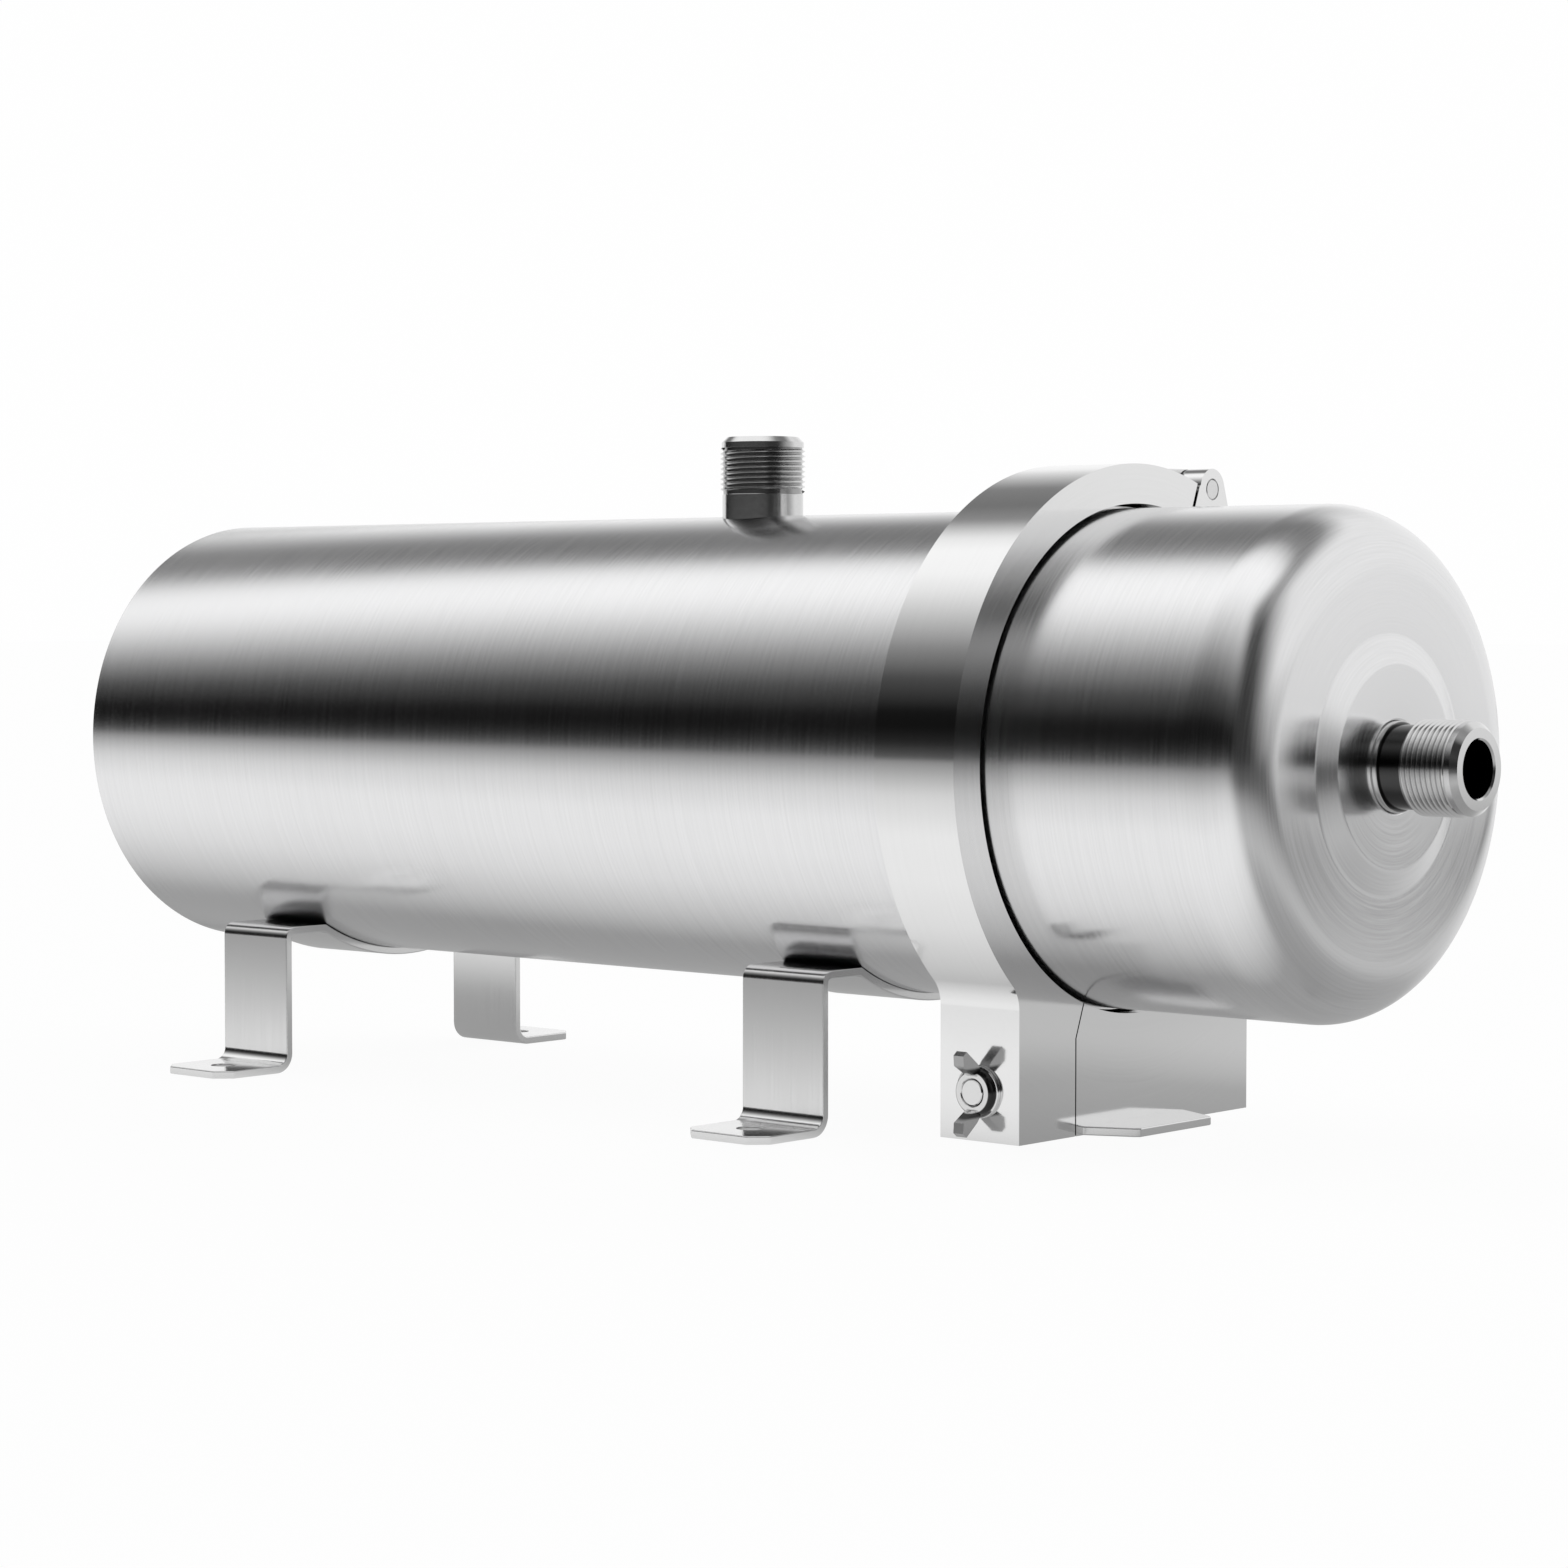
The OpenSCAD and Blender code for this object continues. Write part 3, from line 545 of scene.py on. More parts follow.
class PURIFIER_OT_barrel(bpy.types.Operator):
    """Barrel tube with its back head and the seam between them"""
    bl_idname = "purifier.barrel"
    bl_label = "Barrel"

    def execute(self, context):
        wall = sizes().wall
        low, high = edges("barrel_tube")
        end = 0.25 * MM
        outline = rounded([(BARREL_R - wall, low.x), (BARREL_R, low.x), (BARREL_R, high.x),
                           (BARREL_R - wall, high.x)], end)
        tube = solid(lambda bm: turn(bm, outline))
        port = middle("top_nipple")
        hole = solid(lambda bm: rod(bm, (port.x, 0, AXIS.z), (port.x, 0, BARREL_HIGH.z + 0.01),
                                    PORT_HOLE_R))
        bm = combine(tube, [("DIFFERENCE", hole)])
        finish_mesh(bm, "barrel", "housing", ["barrel_tube"], shell_finish())
        self.head()
        return {"FINISHED"}

    def head(self):
        """Flat pressed head with a rounded edge, and the weld seam round it."""
        low, high = edges("rear_head")
        wall, edge = sizes().wall, 4 * MM
        outer = (high.z - low.z) / 2
        outline = [(PORT_HOLE_R, low.x), (outer - edge, low.x)]
        outline += [(outer - edge + edge * sin(a), low.x + edge - edge * cos(a))
                    for a in [i * pi / 16 for i in range(1, 8)]]
        outline += [(outer, low.x + edge), (outer, high.x), (outer - wall, high.x),
                    (outer - wall, low.x + edge)]
        inner = edge - wall
        outline += [(outer - edge + inner * cos(a), low.x + edge - inner * sin(a))
                    for a in [i * pi / 16 for i in range(1, 8)]]
        outline += [(outer - edge, low.x + wall), (PORT_HOLE_R, low.x + wall)]
        bm = turn(bmesh.new(), outline)
        tidy(bm)
        finish_mesh(bm, "back_head", "housing", ["rear_head"], shell_finish())
        seam = [(outer - 2.2 * MM, low.x + 0.8 * MM), (outer + 0.2 * MM, low.x - 0.3 * MM),
                (outer + 0.2 * MM, low.x + 1.2 * MM)]
        bm = turn(bmesh.new(), rounded(seam, 0.4 * MM), steps=180)
        ripple = 0.05 * MM
        for vert in bm.verts:
            angle = atan2(vert.co.z - AXIS.z, vert.co.y)
            vert.co.x += ripple * sin(90 * angle)
        tidy(bm)
        finish_mesh(bm, "back_seam", "housing", (), turned_finish())


class PURIFIER_OT_cap(bpy.types.Operator):
    """Drawn end cap with a rounded edge and a raised centre"""
    bl_idname = "purifier.cap"
    bl_label = "End cap"

    def execute(self, context):
        size = sizes()
        low, high = edges("end_cap")
        face = high.x - size.boss_h
        wall, edge = size.wall, size.cap_edge_r
        outer = [(BARREL_R, low.x), (BARREL_R, face - edge)]
        outer += [(BARREL_R - edge + edge * cos(a), face - edge + edge * sin(a))
                  for a in [i * pi / 48 for i in range(1, 24)]]
        outer += [(BARREL_R - edge, face)]
        crown = [(size.boss_r, face), (size.boss_top_r, high.x), (PORT_HOLE_R, high.x)]
        inner = edge - wall
        inside = [(PORT_HOLE_R, high.x - wall), (size.boss_top_r - wall, high.x - wall),
                  (size.boss_r - wall, face - wall), (BARREL_R - edge, face - wall)]
        inside += [(BARREL_R - edge + inner * sin(a), face - edge + inner * cos(a))
                   for a in [i * pi / 48 for i in range(1, 24)]]
        inside += [(BARREL_R - wall, face - edge), (BARREL_R - wall, low.x)]
        bm = turn(bmesh.new(), outer + crown + inside)
        tidy(bm)
        cap = finish_mesh(bm, "drawn_cap", "housing", ["end_cap"], shell_finish())
        soften(cap, size.cap_edge_round, angle=12.0, segments=3)
        return {"FINISHED"}


class PURIFIER_OT_nipples(bpy.types.Operator):
    """Three nipples with wound pipe threads"""
    bl_idname = "purifier.nipples"
    bl_label = "Nipples"

    def execute(self, context):
        face = edges("end_cap")[1].x
        self.nipple("top_nipple", Vector((middle("top_nipple").x, 0, BARREL_HIGH.z)),
                    Vector((0, 0, 1)), edges("top_nipple")[1].z - BARREL_HIGH.z)
        self.nipple("cap_nipple", Vector((face, 0, AXIS.z)), Vector((1, 0, 0)),
                    edges("cap_nipple")[1].x - face, 5.4 * MM)
        back = edges("rear_head")[0].x
        self.nipple("rear_nipple", Vector((back, 0, AXIS.z)), Vector((-1, 0, 0)),
                    back - edges("rear_nipple")[0].x, 5.4 * MM)
        return {"FINISHED"}

    def nipple(self, name, foot, direction, reach, relief=0):
        """Turned body with shank, groove, thread and bevelled tip, and the wound ridge."""
        size = sizes()
        shank, groove, bore, crest = 10 * MM, 9.2 * MM, 6.3 * MM, 10.47 * MM
        root, thread_l, tip = 3.5 * MM, 14 * MM, 2.6 * MM
        core = crest - size.thread_depth
        thread_z = reach - thread_l
        soft = 0.15 * MM
        if relief:
            foot_z = thread_z - relief
            outline = [(bore, -root), (shank, -root), (shank, foot_z - soft), (shank - soft, foot_z),
                       (groove, foot_z), (groove, thread_z), (core, thread_z + soft)]
        else:
            outline = [(bore, -root), (shank, -root), (shank, thread_z - soft),
                       (shank - soft, thread_z), (core, thread_z)]
        outline += [(core, reach - tip),
                   (crest - 0.3 * MM, reach - tip), (crest - 0.3 * MM, reach - 1.3 * MM),
                   (crest - 1.6 * MM, reach), (bore + 0.4 * MM, reach), (bore, reach - 0.4 * MM)]
        bm = turn(bmesh.new(), outline, foot, direction, steps=128)
        tidy(bm)
        ridge = bmesh.new()
        wind_thread(ridge, foot + direction * (thread_z + size.thread_pitch * 0.5), direction, core,
                    size.thread_depth, size.thread_pitch, thread_l - tip - size.thread_pitch * 0.6)
        join(bm, ridge)
        finish = nipple_steel_and_shade(name.replace("_", " ") + " steel", foot, direction, reach)
        finish_mesh(bm, name + "_threaded", "housing", [name], finish, 40)


class PURIFIER_OT_brackets(bpy.types.Operator):
    """Two bent strips that carry the barrel"""
    bl_idname = "purifier.brackets"
    bl_label = "Brackets"

    def execute(self, context):
        for name in ("rear_bracket", "front_bracket"):
            self.bracket(name)
        return {"FINISHED"}

    def bracket(self, name):
        """Strip bent along a path of arcs and straights, with bevelled feet and a hole in each."""
        low, high = edges(name)
        strip_t, bend = 2 * MM, 2 * MM
        mid = strip_t / 2
        leg_y, foot_y = 44 * MM - mid, high.y
        saddle_r = BARREL_R + mid
        shelf_y = 29.3 * MM
        shelf_z = AXIS.z - sqrt((BARREL_R + strip_t) ** 2 - shelf_y ** 2) + mid
        turn_r = bend + mid
        saddle_a = acos((AXIS.z - shelf_z) / saddle_r)
        bm = bmesh.new()
        first = bm.verts.new((0, 0, AXIS.z - saddle_r))
        last = self.sweep(bm, first, (0, 0, AXIS.z), saddle_a, 14)
        last = self.step(bm, last, (0, leg_y - turn_r, shelf_z))
        last = self.sweep(bm, last, (0, leg_y - turn_r, shelf_z - turn_r), -pi / 2, 8)
        last = self.step(bm, last, (0, leg_y, FLOOR_Z + mid + turn_r))
        last = self.sweep(bm, last, (0, leg_y + turn_r, FLOOR_Z + mid + turn_r), pi / 2, 8)
        self.step(bm, last, (0, foot_y, FLOOR_Z + mid))
        bmesh.ops.remove_doubles(bm, verts=bm.verts[:], dist=1e-6)
        copied = bmesh.ops.duplicate(bm, geom=bm.verts[:] + bm.edges[:])["geom"]
        bmesh.ops.scale(bm, verts=verts_of(copied), vec=(1, -1, 1))
        bmesh.ops.remove_doubles(bm, verts=bm.verts[:], dist=1e-6)
        made = bmesh.ops.extrude_edge_only(bm, edges=bm.edges[:])["geom"]
        bmesh.ops.translate(bm, verts=verts_of(made), vec=(high.x - low.x, 0, 0))
        bmesh.ops.translate(bm, verts=bm.verts[:], vec=(low.x, 0, 0))
        corners = [v for v in bm.verts if abs(abs(v.co.y) - foot_y) < 1e-6]
        bmesh.ops.bevel(bm, geom=corners, offset=4 * MM, offset_type="OFFSET", segments=1, profile=0.5,
                        affect="VERTICES", material=-1)
        bmesh.ops.recalc_face_normals(bm, faces=bm.faces[:])
        bmesh.ops.solidify(bm, geom=bm.faces[:], thickness=strip_t)
        bm.normal_update()
        self.lift_sheet(bm)
        tidy(bm)
        sheet = as_object(bm, "sheet")
        centre = middle(name).x
        holes = [("DIFFERENCE", solid(lambda tool, side=side: rod(
            tool, (centre, side * 54 * MM, -0.01), (centre, side * 54 * MM, 0.01), 3.2 * MM)))
            for side in (-1, 1)]
        piece = finish_mesh(combine(sheet, holes), name + "_strip", "housing", [name],
                            strip_finish(), 30)
        soften(piece, sizes().sheet_break, angle=40.0, segments=2)

    def sweep(self, bm, vert, centre, angle, steps):
        """Draws an arc from a vertex about a centre, in the plane across the barrel."""
        made = bmesh.ops.spin(bm, geom=[vert], cent=centre, axis=(1, 0, 0), angle=angle, steps=steps)
        return verts_of(made["geom_last"])[0]

    def step(self, bm, vert, place):
        """Draws a straight line from a vertex."""
        made = bm.verts.new(place)
        bm.edges.new((vert, made))
        return made

    def lift_sheet(self, bm):
        """Lifts a sheet that grew below the floor."""
        lowest = min(v.co.z for v in bm.verts)
        if lowest < FLOOR_Z - 1e-6:
            bmesh.ops.translate(bm, verts=bm.verts[:], vec=(0, 0, FLOOR_Z - lowest))


# Clamp

class PURIFIER_OT_clamp(bpy.types.Operator):
    """Two hinged halves of the clamp, the pin, the stud, the washer and the small plate"""
    bl_idname = "purifier.clamp"
    bl_label = "Clamp"

    def execute(self, context):
        self.ring_r = 67.08 * MM
        self.bore_r = BARREL_R + 1.0 * MM
        self.lug_r = -LUG_FACE_Y
        self.part_y = -23.2 * MM
        self.part_z = AXIS.z + self.part_y * tan(SPLIT_A)
        self.half(-1, "clamp_near_half", "clamp_jaw")
        self.half(1, "clamp_far_half", "housing")
        self.small_parts()
        return {"FINISHED"}

    def blank_ring(self, bm):
        """Ring and lug block as one casting blank, before it is split."""
        x0, x1 = CLAMP_X - CLAMP_W / 2, CLAMP_X + CLAMP_W / 2
        fillet = sizes().lug_fillet
        bottom = edges("clamp_near_half")[0].z
        fillet_y = self.lug_r + fillet
        fillet_z = AXIS.z - sqrt((self.ring_r + fillet) ** 2 - fillet_y ** 2)
        start = atan2(fillet_z - AXIS.z, fillet_y)
        points = [(self.lug_r, bottom)]
        reach = pi + start
        points += [(fillet_y + fillet * cos(a), fillet_z + fillet * sin(a))
                   for a in [pi - (pi - reach) * i / 12 for i in range(13)]]
        sweep = pi - 2 * start
        points += [(self.ring_r * cos(a), AXIS.z + self.ring_r * sin(a))
                   for a in [start + sweep * i / 220 for i in range(1, 220)]]
        points += [(-fillet_y - fillet * cos(a), fillet_z + fillet * sin(a))
                   for a in [reach + (pi - reach) * i / 12 for i in range(13)]]
        points += [(-self.lug_r, bottom)]
        return plate(bm, points, x0, x1)

    def region(self, bm, side, gap_low, gap_high):
        """Everything on one side of the parting, with its gaps, as a thick plate."""
        far = 0.2
        a = SPLIT_A
        along = Vector((0, cos(a), sin(a)))
        off = Vector((0, sin(a), -cos(a))) * side
        top = AXIS + along * far + off * gap_high
        bend = AXIS + along * 0.03 + off * gap_high
        inner = AXIS + off * gap_low
        y = self.part_y + side * gap_low
        corner = Vector((0, y, self.part_z))
        foot = Vector((0, y, -far))
        out = Vector((0, side * far, -far))
        high = Vector((0, side * far, far * 2))
        points = [top, bend, inner, corner, foot, out, high]
        return plate(bm, [(p.y, p.z) for p in points], CLAMP_X - 0.05, CLAMP_X + 0.05)

    def groove(self, bm):
        """Inside of the ring: the bore and the tapered groove over the two rims."""
        rim, half, taper = 62.0 * MM, 3.9 * MM, 2.0 * MM
        outline = [(0.02, CLAMP_X - 0.03), (self.bore_r, CLAMP_X - 0.03),
                   (self.bore_r, CLAMP_X - half - taper), (rim, CLAMP_X - half),
                   (rim, CLAMP_X + half), (self.bore_r, CLAMP_X + half + taper),
                   (self.bore_r, CLAMP_X + 0.03), (0.02, CLAMP_X + 0.03)]
        return turn(bm, outline)

    def knuckle_outline(self, side, foot_a):
        """Outline round the pin with a straight back that runs down to the ring."""
        r = 4.8 * MM
        centre = Vector((HINGE.y, HINGE.z - AXIS.z))
        foot = self.ring_r * Vector((cos(foot_a), sin(foot_a)))
        away = centre - foot
        lean = atan2(-away.y, -away.x) + side * acos(r / away.length)
        inner = 62.9 * MM
        a = SPLIT_A
        close_a = a - side * radians(1.0)
        end_a = atan2(inner * sin(close_a) - centre.y, inner * cos(close_a) - centre.x)
        span = (end_a - lean) * side % (2 * pi)
        rounds = [centre + r * Vector((cos(t), sin(t)))
                  for t in [lean + side * span * i / 28 for i in range(28)]]
        points = [foot * 0.97, foot] + rounds + [inner * Vector((cos(close_a), sin(close_a)))]
        return [(p.x, p.y + AXIS.z) for p in points]

    def half(self, side, name, body):
        """One half of the clamp, cut and joined from the blank and its pin, tongue and bores."""
        gap = 0.2 * MM
        hinge_gap = 0.8 * MM if side < 0 else gap
        x0, x1 = CLAMP_X - CLAMP_W / 2, CLAMP_X + CLAMP_W / 2
        tongue = 4.5 * MM
        room = tongue + 0.35 * MM
        a = SPLIT_A
        steps = [("INTERSECT", solid(lambda bm: self.region(bm, side, gap, hinge_gap)))]
        if side > 0:
            ear = self.knuckle_outline(1, a - radians(11.2))
            steps += [("UNION", solid(lambda bm: plate(bm, ear, x0, x1)))]
            steps += [("DIFFERENCE", solid(lambda bm: self.pocket(bm, room)))]
            steps += [("DIFFERENCE", solid(lambda bm: rod(
                bm, (CLAMP_X - room, HINGE.y, HINGE.z), (CLAMP_X + room, HINGE.y, HINGE.z),
                5.15 * MM)))]
        else:
            link = self.knuckle_outline(-1, a + radians(13))
            steps += [("UNION", solid(lambda bm: plate(bm, link, CLAMP_X - tongue, CLAMP_X + tongue)))]
        steps += [("DIFFERENCE", solid(self.groove))]
        pin_r = 2.5 * MM + (0.02 if side > 0 else 0.06) * MM
        steps += [("DIFFERENCE", solid(lambda bm: rod(
            bm, (x0 - 0.01, HINGE.y, HINGE.z), (x1 + 0.01, HINGE.y, HINGE.z), pin_r)))]
        if side < 0:
            steps += [("DIFFERENCE", solid(lambda bm: rod(
                bm, (CLAMP_X, LUG_FACE_Y - 0.01, STUD.z), (CLAMP_X, self.part_y + 0.01, STUD.z),
                3.15 * MM)))]
            steps += [("DIFFERENCE", solid(self.relief))]
        else:
            low, high = edges("clamp_tab")
            steps += [("DIFFERENCE", solid(lambda bm: box_mesh(
                bm, (low.x, low.y, low.z - 0.01), (high.x + 0.01, high.y, high.z))))]
        bm = combine(solid(self.blank_ring), steps)
        piece = finish_mesh(bm, name + "_cast", body, [name], clamp_finish(), 25)
        soften(piece, sizes().edge_break, angle=40.0, segments=2)

    def pocket(self, bm, room):
        """Room in the far half for the tongue of the near half."""
        a = SPLIT_A
        centre = Vector((HINGE.y, HINGE.z - AXIS.z))
        inner, outer = 61.5 * MM, centre.length + 8 * MM
        rays = [(inner, a - radians(4.2)), (centre.length, a - radians(4.2)), (outer, a),
                (outer, a + radians(4)), (inner, a + radians(4))]
        points = [(r * cos(t), r * sin(t) + AXIS.z) for r, t in rays]
        plate(bm, points, CLAMP_X - room, CLAMP_X + room)

    def relief(self, bm):
        """Room under the near lug's hole, so that the half swings clear of the stud."""
        tip = Vector((edges("clamp_stud")[0].y - HINGE.y, STUD.z - 3 * MM - HINGE.z))
        swing = tip.length + 0.2 * MM
        lowest = edges("clamp_near_half")[0].z - 0.004
        start_y, end_y = LUG_FACE_Y - 0.001, self.part_y + 0.002
        points = [(start_y, STUD.z)]
        for i in range(13):
            y = start_y + (end_y - start_y) * i / 12
            z = HINGE.z - sqrt(swing ** 2 - (y - HINGE.y) ** 2)
            points.append((y, max(z, lowest)))
        points.append((end_y, STUD.z))
        plate(bm, points, CLAMP_X - 3.15 * MM, CLAMP_X + 3.15 * MM)

    def small_parts(self):
        x0, x1 = CLAMP_X - CLAMP_W / 2, CLAMP_X + CLAMP_W / 2
        pin_r, dish = 2.5 * MM, 0.35 * MM
        pin = [(0, x0), (pin_r - dish, x0), (pin_r, x0 + dish), (pin_r, x1 - dish), (pin_r - dish, x1),
               (0, x1)]
        about = Vector((0, HINGE.y, HINGE.z))
        bm = turn(bmesh.new(), pin, about, steps=64)
        tidy(bm)
        finish_mesh(bm, "hinge_rivet", "housing", ["hinge_pin"], turned_finish())
        self.stud()
        low, high = edges("stud_washer")
        axis = Vector((CLAMP_X, 0, STUD.z))
        ring = rounded([(3.2 * MM, low.y), (5.9 * MM, low.y), (5.9 * MM, high.y), (3.2 * MM, high.y)],
                       0.15 * MM)
        bm = turn(bmesh.new(), ring, axis, Vector((0, 1, 0)), steps=96)
        tidy(bm)
        finish_mesh(bm, "flat_washer", "washer", ["stud_washer"], turned_finish())
        self.tab()

    def stud(self):
        """Stud with a wound thread at its outer end."""
        low, high = edges("clamp_stud")
        axis = Vector((CLAMP_X, low.y, STUD.z))
        along = Vector((0, 1, 0))
        core, depth, pitch = 2.5 * MM, 0.48 * MM, sizes().stud_pitch
        length = high.y - low.y
        outline = [(0, 0), (2.7 * MM, 0), (2.9 * MM, 0.2 * MM), (2.9 * MM, 0.6 * MM),
                   (core, 0.9 * MM), (core, length - 0.2 * MM), (core, length), (0, length)]
        bm = turn(bmesh.new(), outline, axis, along, steps=64)
        tidy(bm)
        ridge = bmesh.new()
        wind_thread(ridge, axis + along * (1.6 * MM), along, core, depth, pitch, length - 2.7 * MM, 32)
        join(bm, ridge)
        finish_mesh(bm, "threaded_stud", "housing", ["clamp_stud"], turned_finish(), 40)

    def tab(self):
        """Small plate under the lug block, with bevelled corners."""
        low, high = edges("clamp_tab")
        root_x = CLAMP_X + CLAMP_W / 2
        mid_y, tip, bevel = (low.y + high.y) / 2, 14.5 * MM, 1 * MM
        half = [(low.x, high.y - mid_y), (root_x, high.y - mid_y), (high.x - bevel, tip),
                (high.x, tip - bevel)]
        points = [(x, -y) for x, y in half] + [(x, y) for x, y in reversed(half)]
        bm = bmesh.new()
        face = bm.faces.new([bm.verts.new((x, mid_y + y, low.z)) for x, y in points])
        made = bmesh.ops.extrude_face_region(bm, geom=[face])["geom"]
        bmesh.ops.translate(bm, verts=verts_of(made), vec=(0, 0, high.z - low.z))
        tidy(bm)
        piece = finish_mesh(bm, "tab_plate", "housing", ["clamp_tab"], strip_finish(), 30)
        soften(piece, sizes().sheet_break, angle=40.0, segments=2)


class PURIFIER_OT_wing_nut(bpy.types.Operator):
    """Wing nut with a tapered hub and two flared wings"""
    bl_idname = "purifier.wing_nut"
    bl_label = "Wing nut"

    def execute(self, context):
        low, high = edges("wing_nut")
        base = Vector((CLAMP_X, high.y, STUD.z))
        out = Vector((0, -1, 0))
        hub_h = 1.8 * MM
        outline = [(3.06 * MM, 0), (5.3 * MM, 0), (5.3 * MM, 0.4 * MM), (4.7 * MM, hub_h - 0.15 * MM),
                   (4.55 * MM, hub_h), (3.3 * MM, hub_h), (3.06 * MM, hub_h - 0.24 * MM)]
        hub = solid(lambda bm: turn(bm, outline, base, out, steps=96))
        wings = [("UNION", solid(lambda bm, side=side: self.wing(bm, side, base, high.y - low.y)))
                 for side in (-1, 1)]
        bm = combine(hub, wings)
        piece = finish_mesh(bm, "flared_wing_nut", "nut", ["wing_nut"], nut_steel_and_shade(), 35)
        soften(piece, 0.3 * MM, angle=40.0, segments=3)
        return {"FINISHED"}

    def wing(self, bm, side, base, reach):
        """One wing, outlined as (out of the lug, away from the stud)."""
        outline = [(0.15, 3.7), (0.15, 4.9), (1.6, 6.6), (reach / MM - 1.2, 9.5), (reach / MM, 8.6),
                   (reach / MM - 0.2, 6.3), (3.2, 4.4), (1.8, 3.7)]
        points = [(base.y - out * MM, base.z + side * away * MM) for out, away in outline]
        plate(bm, points, CLAMP_X - 1.4 * MM, CLAMP_X + 1.4 * MM)


class PURIFIER_OT_inner_parts(bpy.types.Operator):
    """Finishes of the flanges, the seals and the cartridge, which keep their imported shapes"""
    bl_idname = "purifier.inner_parts"
    bl_label = "Inner parts"

    def execute(self, context):
        tint = colours()
        plastic = moulded("white plastic", tint.plastic, 0.35)
        resin = moulded("cast resin", tint.resin, 0.25, 60.0, 0.0001)
        rubber = moulded("seal rubber", tint.rubber, 0.55)
        fibre = moulded("membrane fibre", (0.85, 0.85, 0.8), 0.7, 2500.0, 0.0001)
        finishes = {
            "barrel_flange": turned_finish(), "cap_flange": turned_finish(),
            "rear_seat": turned_finish(), "main_seal": rubber, "front_o_rings": rubber,
            "rear_o_rings": rubber, "cartridge_shell": plastic, "front_collar": plastic,
            "rear_collar": plastic, "front_potting": resin, "rear_potting": resin,
            "fibre_bundle": fibre}
        for name, material in finishes.items():
            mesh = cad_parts[name].data
            mesh.materials.clear()
            mesh.materials.append(material)
        return {"FINISHED"}


# Studio

# Grey levels of the light round the barrel's axis, by the turn from the front's horizon in degrees:
# a dark gap, a soft box overhead and a dim strip at the back, and below them the floor
ROOM_TONES = [(0, 0.1), (6, 0.02), (12, 0.006), (19, 0.008), (32, 0.08), (44, 0.28), (56, 0.6),
              (69, 0.96), (78, 1.12), (90, 1.15), (97, 1.0), (108, 0.3), (118, 0.2), (133, 0.25),
              (158, 1.0), (180, 1.0)]
# Levels of the floor in the metal by the same turn: painted shade under the barrel where its shadow falls,
# painted light beside it
FLOOR_TONES = [(-180, 1.0), (-160, 0.8), (-137, 0.45), (-76, 0.38), (-62, 0.7), (-49, 0.94),
               (-37, 1.05), (-25, 1.06), (-13, 0.84), (-4, 0.42), (0, 0.25)]
# Painted light and shade of the floor in front of the cap, by the distance from the cap's foot in metres,
# on its two sides
FLOOR_REACH = 4.0
LIT_FLOOR_TONES = [(0, 0.36), (0.08, 0.42), (0.17, 0.62), (0.4, 0.6), (0.66, 0.38), (0.9, 0.16),
                   (1.05, 0.14), (1.5, 0.6), (1.8, 0.8), (2.2, 0.9), (3.0, 0.98), (4.0, 1.0)]
DARK_FLOOR_TONES = [(0, 0.34), (0.1, 0.4), (0.2, 0.6), (0.32, 0.5), (0.5, 0.32), (0.75, 0.12),
                    (1.0, 0.06), (4.0, 0.04)]
# Headings in degrees from plus X: where that floor starts and ends, and turns from painted shade to painted
# light
CAP_FLOOR_SPAN = [(-45, 0), (-32, 1), (68, 1), (92, 0)]
CAP_FLOOR_TURN = [(25, 0), (52, 1)]
# Fill card beyond the cap: its upright edge, its dimmer foot, the gap beside it and the room above
CARD_SPAN = [(-42, 0), (-26, 1), (92, 1), (130, 0)]
CARD_EDGE = [(-12, 0.05), (4, 0.5), (20, 0.95)]
CARD_FOOT = [(0, 0.15), (40, 0.55), (60, 1)]
GAP_LEVEL = 0.04
OVER_CARD_LEVEL = 0.25
CARD_TOP = (radians(44), radians(56))
ROOM_START = (radians(56), radians(67))
# Place and lens of the camera, solved from the photograph's outlines
PHOTO_PIXELS = 1568
LENS_PIXELS = 3820.04
SENSOR_MM = 36.0


def tone_by_turn(tree, vector, stops, at):
    """Grey by the turn round the barrel's axis, from the front's horizon, in degrees."""
    x, y = at
    parts = split_xyz(tree, vector, at)
    toward = math_node(tree, "MULTIPLY", parts[1], -1.0, (x + 180, y - 100))
    angle = math_node(tree, "ARCTAN2", parts[2], toward, (x + 360, y))
    share = math_node(tree, "MULTIPLY_ADD", angle, 0.5 / pi, (x + 540, y), 0.5)
    return heading_ramp(tree, share, stops, (x + 720, y))


def azimuth_share(tree, parts, at):
    """Heading round the upright axis, as a share of a whole turn with plus X at a half."""
    angle = math_node(tree, "ARCTAN2", parts[1], parts[0], at)
    return math_node(tree, "MULTIPLY_ADD", angle, 0.5 / pi, (at[0] + 180, at[1]), 0.5)


def heading_ramp(tree, turned, stops, at):
    """Grey by a share of a whole turn, with stops in degrees, held level past its ends."""
    return ramp_of(tree, turned, [(0.5 + a / 360, level) for a, level in stops], at)


